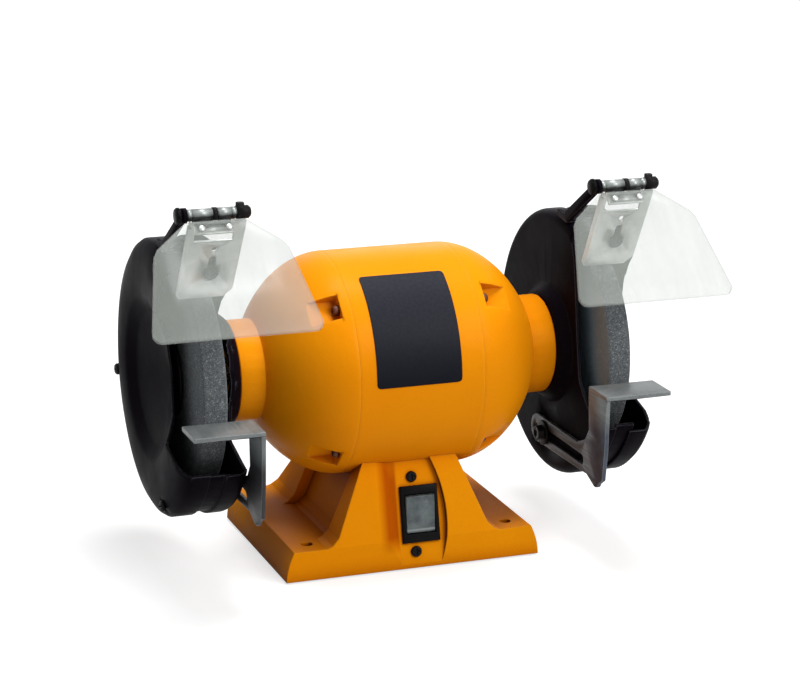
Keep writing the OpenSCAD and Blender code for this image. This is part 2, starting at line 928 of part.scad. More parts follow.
module bearing_balls() {
    x = (bearing_in + bearing_out)/2;
    color("silver")
    at_shaft()
        for (side = SIDES, i = [0:balls - 1])
            rotate([i*360/balls, 0, 0])
                translate([side*x, pitch_r, 0])
                    sphere(r = ball_d/2 - fit/2, $fn = small_fn);
}

module preload_washer() {
    color("silver")
    at_shaft()
        ring_x(bearing_in - washer_t, bearing_in, bearing_d/2 - 3, bearing_d/2 - 0.3);
}

// ---------------------------------------------------------------- rotor

module shaft() {
    core_end = bearing_in;
    color("silver")
    at_shaft()
        turned(concat([[-shaft_end, 0], [-shaft_end, arbor_d/2 - 1], [-shaft_end + 1, arbor_d/2],
                [-inner_flange_in, arbor_d/2], [-inner_flange_in, journal_d/2], [-core_end, journal_d/2],
                [-core_end, shaft_d/2]],
            [[core_end, shaft_d/2], [core_end, journal_d/2], [inner_flange_in, journal_d/2],
                [inner_flange_in, arbor_d/2], [shaft_end - 1, arbor_d/2], [shaft_end, arbor_d/2 - 1],
                [shaft_end, 0]]));
}

module rotor_core() {
    color("slategray")
    at_shaft()
        ring_x(-stator_l/2, stator_l/2, shaft_d/2 + fit/2, rotor_r);
}

cage_t = 8;
blade_h = 9;
blades = 8;

module rotor_cage() {
    r_out = rotor_r - 1;
    r_in = shaft_d/2 + 6;
    color("silver")
    at_shaft()
        for (side = SIDES)
            on_side(side) {
                ring_x(stator_l/2, stator_l/2 + cage_t, r_in, r_out);
                for (i = [0:blades - 1])
                    rotate([i*360/blades, 0, 0])
                        translate([stator_l/2 + cage_t - cut, r_in + 1, -1])
                            cube([blade_h + cut, r_out - r_in - 3, 2]);
            }
}

relief = 1.2;
flange_hub_r = flange_d*0.32;
flange_relief_r = flange_d*0.36;
flange_seat_r = flange_d*0.38;

module inner_flange(side) {
    color("dimgray")
    at_shaft()
        on_side(side)
            turned([[inner_flange_in, arbor_d/2 + fit], [inner_flange_out - relief, arbor_d/2 + fit],
                [inner_flange_out - relief, flange_relief_r], [inner_flange_out, flange_seat_r],
                [inner_flange_out, flange_d/2], [inner_flange_out - 2, flange_d/2],
                [inner_flange_in, flange_hub_r]]);
}

module outer_flange(side) {
    color("dimgray")
    at_shaft()
        on_side(side)
            turned([[outer_flange_out, arbor_d/2 + fit], [outer_flange_in + relief, arbor_d/2 + fit],
                [outer_flange_in + relief, flange_relief_r], [outer_flange_in, flange_seat_r],
                [outer_flange_in, flange_d/2], [outer_flange_in + 2, flange_d/2],
                [outer_flange_out, flange_hub_r]]);
}

module grinding_wheel(side) {
    edge = 0.8;
    color("darkslategray")
    at_shaft()
        on_side(side)
            turned([[wheel_in, arbor_d/2 + fit], [wheel_out, arbor_d/2 + fit],
                [wheel_out, wheel_d/2 - edge], [wheel_out - edge, wheel_d/2],
                [wheel_in + edge, wheel_d/2], [wheel_in, wheel_d/2 - edge]]);
}

module paper_washers() {
    color("tan")
    at_shaft()
        for (side = SIDES)
            on_side(side) {
                ring_x(inner_flange_out, wheel_in, flange_seat_r, flange_d/2 + 1);
                ring_x(wheel_out, outer_flange_in, flange_seat_r, flange_d/2 + 1);
            }
}

module arbor_nut(side) {
    color("silver")
    at_shaft()
        on_side(side)
            difference() {
                rod_x(outer_flange_out, nut_out, nut_af/2/cos(30), 6);
                rod_x(outer_flange_out - cut, nut_out + cut, arbor_d/2 + fit);
            }
}

// ---------------------------------------------------------------- guards

// Front edge of a guard, as [forward, up] from the shaft axis
LEFT_CHEEK = [[-29.5, 97], [-34, 76], [-31, 63], [-19, 54], [-11, 44], [-15, 34], [-31, 27], [-40, 12],
    [-41.5, -8], [-40, -24], [-36, -34], [-42, -37], [-50, -39], [-64, -43], [-84, -48]];
RIGHT_CHEEK = [[-29.5, 97], [-36, 80], [-41, 67], [-46, 34], [-49, 14], [-54, -13], [-60, -20.5], [-73, -32],
    [-84, -41]];
COVER_EDGE = [[-34, 97], [-40, 84], [-38, 70], [-28, 58], [-24, 50], [-31, 34], [-40, 15], [-43, -10],
    [-44, -32], [-54, -34.5], [-63, -37], [-72, -41], [-84, -46]];

// All that lies in front of an edge
module ahead_of_2d(edge) {
    far = 2*guard_r;
    last = edge[len(edge) - 1];
    polygon(concat([[edge[0][0] + (far - edge[0][1])/4, far]], edge,
        [[-far, last[1]*far/abs(last[0])], [-far, far]]));
}

guard_boss_r = neck_r + 3.5;
ear_r = 6;
ear_t = 3;
cover_sheet = 1.8;
cover_over = 3;
step_r = guard_r - cover_sheet - fit;
EAR_ANGLES = [72, 191, 292];
ear_circle = step_r - ear_r;

guard_screw_circle = (boss_r + neck_r - body_wall)/2 + 0.8;
guard_screw_l = neck_end + 1.5;
guard_head_r = 3.2;
guard_head_h = 2.4;

module guard_screw_places() {
    for (a = SCREW_ANGLES)
        rotate([a, 0, 0])
            translate([0, guard_screw_circle, 0])
                children();
}

// The flange that takes the deflector plate, as a strip behind it
tongue_w = 10.6;
tab_x0 = -8;
tab_x1 = 14;
tab_top = 41;
tab_bottom = 56;
tab_bolt = 45;

// Puts its children on the deflector: X right, Y down the plate from the rod, Z forward
module at_deflector(side) {
    at_shaft()
        translate([side*wheel_x, -hinge_ahead, hinge_up])
            rotate([90 + plate_tilt, 0, 0])
                mirror([0, 1, 0])
                    children();
}

module guard(side) {
    lip_y = -guard_r*cos(EAR_ANGLES[0]);
    lip_z = guard_r*sin(EAR_ANGLES[0]);
    collar_r = guard_boss_r + 5;
    bend_r = guard_r - cheek_round;
    bend_x = cheek_x + cheek_round;
    step_x = drum_x - step_w;
    tab_y = -hinge_ahead + sin(plate_tilt)*tab_top + plate_t;
    color("black")
    union() {
        at_shaft()
            on_side(side)
                difference() {
                    union() {
                        difference() {
                            turned(concat([[neck_x, 0], [neck_x, guard_boss_r - 2],
                                [neck_x + 2, guard_boss_r], [cheek_x, collar_r], [cheek_x, bend_r]],
                                arc(bend_x, bend_r, cheek_round, 180, 90),
                                [[step_x - 1, guard_r], [step_x, step_r], [drum_x, step_r], [drum_x, 0]]));
                            turned(concat([[neck_x + guard_t, 0],
                                [neck_x + guard_t, guard_boss_r - 2 - guard_t/2],
                                [cheek_x + guard_t, collar_r - guard_t/2], [cheek_x + guard_t, bend_r]],
                                arc(bend_x, bend_r, cheek_round - guard_t, 180, 90),
                                [[step_x - 2, guard_r - guard_t], [step_x - 1, step_r - guard_t],
                                [drum_x + cut, step_r - guard_t], [drum_x + cut, 0]]));
                        }
                        // threaded ears for the cover
                        for (a = EAR_ANGLES)
                            rotate([-a, 0, 0])
                                translate([0, -ear_circle, 0])
                                    intersection() {
                                        rod_x(drum_x - ear_t, drum_x, ear_r, small_fn);
                                        translate([0, ear_circle, 0])
                                            rotate([a, 0, 0])
                                                rod_x(0, 2*drum_x, step_r - guard_t/2);
                                    }
                    }
                    plate_x(0, 2*drum_x)
                        ahead_of_2d(side == LEFT ? LEFT_CHEEK : RIGHT_CHEEK);
                    rod_x(neck_x - cut, cheek_x, bearing_d/2 - 2);
                    guard_screw_places()
                        rod_x(neck_x - cut, neck_x + 2*guard_t, screw_hole_r + fit, small_fn);
                    cover_screw_places_x()
                        rod_x(drum_x - ear_t - cut, drum_x + cut, screw_hole_r - fit, small_fn);
                    translate([0, -clamp_ahead, -arm_drop])
                        rod_x(cheek_x - cut, cheek_x + 2*guard_t, clamp_d/2 + fit, small_fn);
                    // hole of the shield arm's screw
                    translate([side*foot_screw_x + wheel_x, 0, 0])
                        rotate([90 - foot_angle, 0, 0])
                            translate([0, 0, guard_r - 2*guard_t])
                                cylinder(h = 3*guard_t, r = screw_hole_r, $fn = small_fn);
                }
        // tongue and flange that carry the deflector
        difference() {
            union() {
                at_shaft()
                    translate([side*wheel_x, 0, 0])
                        plate_x(-tongue_w/2, tongue_w/2)
                            polygon([[lip_y + 3, lip_z - guard_t - 0.6], [lip_y + 3, lip_z - 0.6],
                                [tab_y, lip_z + 2.2], [tab_y + 1.6, lip_z + 2.2 - guard_t]]);
                at_deflector(side)
                    translate([tab_x0, tab_top, -plate_t/2 - guard_t])
                        cube([tab_x1 - tab_x0, tab_bottom - tab_top, guard_t]);
            }
            at_deflector(side)
                translate([deflector_mid, tab_bolt, -3*plate_t])
                    cylinder(h = 6*plate_t, r = screw_hole_r, $fn = small_fn);
        }
    }
}

module cover_screw_places_x() {
    for (a = EAR_ANGLES)
        rotate([-a, 0, 0])
            translate([0, -ear_circle, 0])
                children();
}

module guard_screws() {
    color("silver")
    at_shaft()
        for (side = SIDES)
            on_side(side)
                guard_screw_places()
                    translate([neck_x + guard_t, 0, 0])
                        rotate([0, 90, 0])
                            pan_screw(screw_hole_r - fit, guard_screw_l + guard_t - cut/2, guard_head_r,
                                guard_head_h);
}

module guard_cover(side) {
    rim = drum_x + cover_rim;
    peak_r = guard_r*0.8;
    floor_x = cover_x - dish_depth;
    t = cover_sheet;
    color("black")
    at_shaft()
        on_side(side)
            difference() {
                turned([[drum_x - cover_over, guard_r - t], [drum_x - cover_over, guard_r], [rim, guard_r],
                    [rim + cover_bulge*0.35, guard_r - 2], [rim + cover_bulge*0.7, guard_r - 7],
                    [cover_x - 0.6, peak_r + 4], [cover_x, peak_r - 2],
                    [cover_x, dish_r + 5], [cover_x - 1.2, dish_r + 2.5],
                    [floor_x + 1, dish_r - 5], [floor_x, dish_r - 7], [floor_x, 0],
                    [floor_x - t, 0], [floor_x - t, dish_r - 6],
                    [cover_x - t - 1, dish_r + 3.5], [cover_x - t, dish_r + 6],
                    [cover_x - t, peak_r - 3], [cover_x - t - 0.6, peak_r + 2.4],
                    [rim + cover_bulge*0.7 - t*0.7, guard_r - 7 - t*0.7],
                    [rim + cover_bulge*0.2, guard_r - 2 - t],
                    [rim - t*0.4, guard_r - t]]);
                plate_x(0, 2*drum_x)
                    ahead_of_2d(COVER_EDGE);
                cover_screw_places_x() {
                    rod_x(drum_x, cover_x + cut, screw_hole_r, small_fn);
                    rod_x(cover_seat_x, cover_x + cut, cover_head_r + gap, small_fn);
                }
            }
}

cover_head_r = 4;
cover_head_h = 2.6;
cover_seat_x = drum_x + cover_rim + cover_bulge*0.75;

module cover_screws() {
    color("black")
    at_shaft()
        for (side = SIDES)
            on_side(side)
                cover_screw_places_x()
                    translate([cover_seat_x, 0, 0])
                        rotate([0, 90, 0])
                            pan_screw(screw_hole_r - 3*fit, cover_seat_x - drum_x + ear_t - cut/2,
                                cover_head_r, cover_head_h);
}

// ---------------------------------------------------------------- eye shields

// Stretches along the rod, from the wheel's mid-plane
knob_x = [-24.4, -20.7];
boss_x = [-20.4, -17.3];
left_ear_x = [-17, -13.9];
barrel_a_x = [-13.6, -0.3];
collar_x = [0, 2.8];
barrel_b_x = [3.1, 12];
right_ear_x = [12.3, 15.4];
head_x = [15.7, 25.2];
deflector_mid = 3;
foot_angle = 80;
foot_screw_x = 1;
foot_t = 2.5;
foot_l = 17;
arm_t = 3;

// Moves its children onto the hinge rod of one side
module at_hinge(side) {
    at_shaft()
        translate([side*wheel_x, -hinge_ahead, hinge_up])
            children();
}

module shield_arm(side) {
    boss_out = rod_d/2 + 2.5;
    foot_root = [-guard_r*cos(foot_angle) - foot_l/2 + 1, guard_r*sin(foot_angle) + foot_t];
    rod_at = [-hinge_ahead, hinge_up];
    color("black")
    at_shaft()
        translate([side*wheel_x, 0, 0])
            difference() {
                union() {
                    translate([0, rod_at[0], rod_at[1]])
                        rod_x(boss_x[0], boss_x[1], boss_out);
                    plate_x(boss_x[0], boss_x[0] + arm_t)
                        slot_2d(rod_at, foot_root, boss_out*0.75);
                    plate_x(boss_x[0], boss_x[0] + arm_t)
                        slot_2d(foot_root, foot_root + [foot_l*0.75, foot_t*0.2], foot_t*0.9);
                    rotate([90 - foot_angle, 0, 0])
                        translate([boss_x[0], -foot_l/2, guard_r + fit])
                            cube([foot_screw_x + 6 - boss_x[0], foot_l, foot_t]);
                }
                rod_x_at(rod_at, boss_x[0] - cut, boss_x[1] + cut, rod_d/2 + fit);
                rotate([90 - foot_angle, 0, 0])
                    translate([foot_screw_x, 0, guard_r - cut])
                        cylinder(h = 2*foot_t + cut, r = screw_hole_r + fit, $fn = small_fn);
                // the guard's drum passes under the foot
                rod_x(-2*wheel_t, 2*wheel_t, guard_r + fit);
            }
}

// A rod along X at a place [y, z]
module rod_x_at(at, x0, x1, r) {
    translate([0, at[0], at[1]])
        rod_x(x0, x1, r);
}

module deflector(side) {
    w0 = -14.5;
    w1 = 23.3;
    splay = 4;
    flange = 5;
    start = rod_d/2 + 0.6;
    window = [[-10.5, 12], [15.5, 20.5]];
    eye_r = 4.3;
    sight_hole_at = 27;
    sight_hole_r = 2;
    shank_r = screw_hole_r + 0.4;
    color("gainsboro")
    at_deflector(side)
        difference() {
            union() {
                translate([0, 0, -plate_t/2])
                    linear_extrude(plate_t)
                        difference() {
                            polygon([[w0, start], [w1, start], [w1, 10], [w1 - splay, plate_l - 6],
                                [w1 - 2.5*splay, plate_l], [w0 - splay/2, plate_l],
                                [w0 - splay, plate_l - 3]]);
                            translate(window[0])
                                square(window[1] - window[0]);
                            translate([deflector_mid, tab_bolt + 2])
                                circle(r = eye_r, $fn = small_fn);
                            slot_2d([deflector_mid, tab_bolt + 2], [deflector_mid + 0.5, tab_bolt - 10],
                                shank_r);
                            translate([deflector_mid + 1, sight_hole_at])
                                circle(r = sight_hole_r, $fn = small_fn);
                            // room for the barrels of the shield clamp and the head of the rod
                            translate([barrel_a_x[0] - gap, 0])
                                square([barrel_b_x[1] - barrel_a_x[0] + 2*gap, barrel_r + 2]);
                            translate([head_x[0] - gap, 0])
                                square([head_x[1] - head_x[0] + 2*gap, barrel_r + 2]);
                        }
                // side flange of the plate
                translate([0, 0, -plate_t/2])
                    linear_extrude(flange)
                        polygon([[w0 - splay*0.2, 2*barrel_r], [w0 - splay*0.2 + plate_t*0.8, 2*barrel_r],
                            [w0 - splay*0.9 + plate_t*0.8, plate_l - 8], [w0 - splay*0.9, plate_l - 8]]);
                for (ear = [left_ear_x, right_ear_x])
                    rod_x(ear[0], ear[1], barrel_r, small_fn);
            }
            rod_x(left_ear_x[0] - cut, right_ear_x[1] + cut, rod_d/2 + fit);
        }
}

head_r = barrel_r + 0.4;
set_screw_r = 2.8;
set_screw_up = 2;
set_screw_x = 18.4;

// Rod with a collar in its middle and a domed head, clamped by a set screw, at its right end
module hinge_rod(side) {
    dome = 1.5;
    color("dimgray")
    at_hinge(side) {
        rod_x(knob_x[0] + 2, head_x[0] + cut, rod_d/2);
        rod_x(collar_x[0], collar_x[1], head_r, small_fn);
        turned([[head_x[0], 0], [head_x[0], head_r], [head_x[1] - dome, head_r], [head_x[1], head_r - dome],
            [head_x[1], 0]], small_fn);
        translate([set_screw_x, 0, rod_d/2])
            difference() {
                cylinder(h = head_r - rod_d/2 + set_screw_up, r = set_screw_r, $fn = small_fn);
                translate([-set_screw_r, -cross_w/2, head_r - rod_d/2 + set_screw_up/2])
                    cube([2*set_screw_r, cross_w, set_screw_up]);
            }
    }
}

// Puts its children on the shield: X right, Y down the shield from the rod, Z forward
module at_shield(side) {
    at_hinge(side)
        rotate([90 - shield_tilt, 0, 0])
            mirror([0, 1, 0])
                children();
}

clamp_t = 1.2;
clamp_l = 13.5;
shield_mid_x = 1;
RIVETS = [-9, 9];
rivet_at = 10.4;
rivet_r = 1.5;
rivet_head_r = 2.4;
rivet_head_h = 0.7;

// Two rolled barrels on the rod, their strip behind the shield, and the rivets
module shield_clamp(side) {
    barrels = [barrel_a_x, barrel_b_x];
    strip_z = -shield_t/2 - clamp_t;
    color("gainsboro")
    at_shield(side)
        difference() {
            union() {
                for (b = barrels)
                    rod_x(b[0], b[1], barrel_r, small_fn);
                for (b = barrels)
                    translate([b[0], rod_d/2 + 0.6, strip_z])
                        cube([b[1] - b[0], clamp_l - rod_d/2 - 0.6, clamp_t]);
                translate([barrels[0][0], head_r + gap, strip_z])
                    cube([barrels[1][1] - barrels[0][0], clamp_l - head_r - gap, clamp_t]);
                for (x = RIVETS)
                    translate([x, rivet_at, strip_z - rivet_head_h]) {
                        cylinder(h = shield_t + clamp_t + 2*rivet_head_h, r = rivet_r, $fn = small_fn);
                        cylinder(h = rivet_head_h, r1 = rivet_r, r2 = rivet_head_r, $fn = small_fn);
                    }
                for (x = RIVETS)
                    translate([x, rivet_at, shield_t/2])
                        cylinder(h = rivet_head_h, r1 = rivet_head_r, r2 = rivet_r, $fn = small_fn);
            }
            rod_x(barrels[0][0] - cut, barrels[1][1] + cut, rod_d/2 + fit);
        }
}

function shield_side() = [
    [shield_top_w/2, barrel_r + 1.5],
    [shield_mid_w/2 - 3, shield_mid_l - 3], [shield_mid_w/2, shield_mid_l + 2]];

module shield_outline_2d() {
    corner = 6;
    slope = atan2((shield_low_w - shield_mid_w)/2, shield_l - shield_mid_l);
    half = concat(shield_side(), arc(shield_low_w/2 - corner, shield_l - corner, corner, -slope, 90));
    last = len(half) - 1;
    polygon(concat(half, [for (i = [last:-1:0]) [-half[i][0], half[i][1]]]));
}

module eye_shield(side) {
    color([0.85, 0.88, 0.9, 0.4])
    at_shield(side)
        difference() {
            translate([shield_mid_x, 0, -shield_t/2])
                linear_extrude(shield_t)
                    shield_outline_2d();
            for (x = RIVETS)
                translate([x, rivet_at, -shield_t])
                    cylinder(h = 2*shield_t, r = rivet_r + fit, $fn = small_fn);
        }
}

module clamp_knob(side) {
    lobes = 6;
    color("black")
    at_hinge(side)
        difference() {
            union() {
                turned([[knob_x[0], 0], [knob_x[0], knob_d/2 - 1], [knob_x[0] + 1, knob_d/2],
                    [knob_x[1] - 1, knob_d/2], [knob_x[1], knob_d/2 - 1.5], [knob_x[1], 0]], small_fn);
            }
            rod_x(knob_x[0] + 2 - fit, knob_x[1] + cut, rod_d/2 + fit);
            for (i = [0:lobes - 1])
                rotate([i*360/lobes, 0, 0])
                    translate([0, knob_d/2 + 0.9, 0])
                        rod_x(knob_x[0] - cut, knob_x[1] - 2, 1.7, small_fn);
        }
}

module bracket_screws() {
    color("black")
    for (side = SIDES) {
        at_deflector(side)
            translate([deflector_mid, tab_bolt, plate_t/2])
                pan_screw(screw_hole_r - fit, plate_t + guard_t + 2, 5, 2.6);
        at_shaft()
            translate([side*wheel_x + foot_screw_x, 0, 0])
                rotate([90 - foot_angle, 0, 0])
                    translate([0, 0, guard_r + fit + foot_t])
                        pan_screw(screw_hole_r - fit, foot_t + 2*guard_t + 1, 4, 2.8);
    }
}

// ---------------------------------------------------------------- tool rests

rest_in_x = cheek_x - gap - rest_t;
rest_top = -rest_drop;
rest_y1 = -wheel_d/2 - rest_gap + 1;
rest_y0 = rest_y1 - rest_d;
arm_back = 10;

module tool_rest(side) {
    arm_low = -arm_drop - arm_h/2;
    arm_top = -arm_drop + arm_h/2;
    toe_y = (rest_y0 + rest_y1)/2 + 1;
    slot_back = -clamp_ahead + 12;
    color("slategray")
    at_shaft()
        on_side(side)
            union() {
                translate([rest_in_x, rest_y0, rest_top - rest_t])
                    cube([rest_end_x - rest_in_x, rest_d, rest_t]);
                plate_x(rest_in_x, rest_in_x + rest_t)
                    difference() {
                        polygon(concat([[rest_y0, rest_top - rest_t/2], [rest_y0 + 1, arm_top + 6],
                                [rest_y0 + 4, arm_low + 6]],
                            arc(toe_y, arm_low + 4, 6, 200, 300, 6),
                            [[toe_y + 14, arm_low + 3]],
                            arc(arm_back, -arm_drop, arm_h/2 - 1, -90, 90),
                            [[rest_y1 + 18, arm_top - 1], [rest_y1 + 4, arm_top + 5],
                                [rest_y1 - 2, arm_top + 14], [rest_y1, rest_top - rest_t/2]]));
                        slot_2d([slot_back, -arm_drop], [slot_back - slot_l, -arm_drop], clamp_d/2 + 0.5);
                    }
            }
}

washer_r = 9;
washer_th = 1.6;
bolt_head_h = 4.2;

module rest_clamps() {
    head_x = rest_in_x - washer_th - gap/2;
    color("dimgray")
    at_shaft()
        for (side = SIDES)
            on_side(side)
                translate([0, -clamp_ahead, -arm_drop]) {
                    difference() {
                        union() {
                            rod_x(head_x, head_x + washer_th, washer_r, small_fn);
                            rod_x(head_x - bolt_head_h, head_x + cut/2, 5.8, 6);
                            rod_x(head_x, cheek_x + guard_t + 5, clamp_d/2, small_fn);
                        }
                        translate([head_x - bolt_head_h - cut, 0, 0])
                            rod_x(0, 1.6, 2.4, small_fn);
                    }
                    difference() {
                        rod_x(cheek_x + guard_t, cheek_x + guard_t + 4.5, 5.8, 6);
                        rod_x(cheek_x, cheek_x + guard_t + 6, clamp_d/2 - fit, small_fn);
                    }
                }
}

base_casting();
base_cover();
base_cover_screws();
rubber_feet();
cord_grommet();
switch_bezel();
switch_body();
switch_rocker();
switch_screws();
run_capacitor();
saddle_screws();
stator_housing();
end_bell(LEFT);  // left_end_bell
end_bell(RIGHT);  // right_end_bell
case_screws();
name_plate();
stator_core();
stator_windings();
outer_ring(LEFT);  // left_bearing_outer_ring
outer_ring(RIGHT);  // right_bearing_outer_ring
preload_washer();
shaft();
rotor_core();
rotor_cage();
inner_ring(LEFT);  // left_bearing_inner_ring
inner_ring(RIGHT);  // right_bearing_inner_ring
bearing_balls();
inner_flange(LEFT);  // left_inner_flange
inner_flange(RIGHT);  // right_inner_flange
grinding_wheel(LEFT);  // left_grinding_wheel
grinding_wheel(RIGHT);  // right_grinding_wheel
paper_washers();
outer_flange(LEFT);  // left_outer_flange
outer_flange(RIGHT);  // right_outer_flange
arbor_nut(LEFT);  // left_arbor_nut
arbor_nut(RIGHT);  // right_arbor_nut
guard(LEFT);  // left_guard
guard(RIGHT);  // right_guard
guard_screws();
guard_cover(LEFT);  // left_guard_cover
guard_cover(RIGHT);  // right_guard_cover
cover_screws();
shield_arm(LEFT);  // left_shield_arm
shield_arm(RIGHT);  // right_shield_arm
deflector(LEFT);  // left_deflector
deflector(RIGHT);  // right_deflector
hinge_rod(LEFT);  // left_hinge_rod
hinge_rod(RIGHT);  // right_hinge_rod
shield_clamp(LEFT);  // left_shield_clamp
shield_clamp(RIGHT);  // right_shield_clamp
eye_shield(LEFT);  // left_eye_shield
eye_shield(RIGHT);  // right_eye_shield
clamp_knob(LEFT);  // left_clamp_knob
clamp_knob(RIGHT);  // right_clamp_knob
bracket_screws();
tool_rest(LEFT);  // left_tool_rest
tool_rest(RIGHT);  // right_tool_rest
rest_clamps();
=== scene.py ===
import json
import math

import bmesh
import bpy
import numpy as np
from mathutils import Matrix, Vector


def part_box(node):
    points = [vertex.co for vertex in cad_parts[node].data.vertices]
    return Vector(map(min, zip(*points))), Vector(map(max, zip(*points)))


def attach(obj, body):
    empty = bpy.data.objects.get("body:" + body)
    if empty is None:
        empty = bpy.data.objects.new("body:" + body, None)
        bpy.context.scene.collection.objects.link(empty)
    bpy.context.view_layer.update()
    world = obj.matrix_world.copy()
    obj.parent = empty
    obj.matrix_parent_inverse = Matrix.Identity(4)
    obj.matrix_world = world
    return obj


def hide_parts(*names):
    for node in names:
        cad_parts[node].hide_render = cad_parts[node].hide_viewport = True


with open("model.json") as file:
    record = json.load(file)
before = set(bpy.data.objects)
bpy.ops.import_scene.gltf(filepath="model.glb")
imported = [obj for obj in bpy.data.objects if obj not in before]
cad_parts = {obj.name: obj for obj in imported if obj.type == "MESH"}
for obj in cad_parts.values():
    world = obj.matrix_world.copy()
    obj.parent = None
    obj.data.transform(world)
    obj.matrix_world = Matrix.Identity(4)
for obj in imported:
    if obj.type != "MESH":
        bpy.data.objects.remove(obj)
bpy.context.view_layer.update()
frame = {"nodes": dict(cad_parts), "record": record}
cad_nodes = frame["nodes"]
slot_of = {entry["node"]: entry["material_slot"] for entry in frame["record"]["subparts"]}
bodies = frame["record"]["behaviour"]["bodies"]
body_of_node = {node: body for body, members in bodies.items() for node in members}

MM = 0.001
SIDES = {"left": -1.0, "right": 1.0}
SHAFT_Y = -0.0095
SHAFT_Z = 0.135


# ---------------------------------------------------------------- shader nodes

NOISE_SPAN = (0.3, 0.7)         # nearly all of a noise texture's values lie between these
PATCH_SPAN = (0.35, 0.65)       # a little narrower: patches with firmer borders
LOOSE_SPAN = (0.35, 0.7)
DOUBLE_SPAN = (0.75, 1.25)      # the same for the sum of two noises
EDGE_LEAN = (0.86, 0.985)       # rounded normal · true normal: on an edge, and on a flat
HOLLOW_SAMPLES = 6
BEVEL_SAMPLES = 4


def put(tree, kind, sockets=None, **settings):
    """Adds a node; a socket's value is a number, a colour or another node's output."""
    node = tree.nodes.new(kind)
    for key, value in settings.items():
        setattr(node, key, value)
    for key, value in (sockets or {}).items():
        if isinstance(value, bpy.types.NodeSocket):
            tree.links.new(value, node.inputs[key])
        else:
            node.inputs[key].default_value = value
    return node


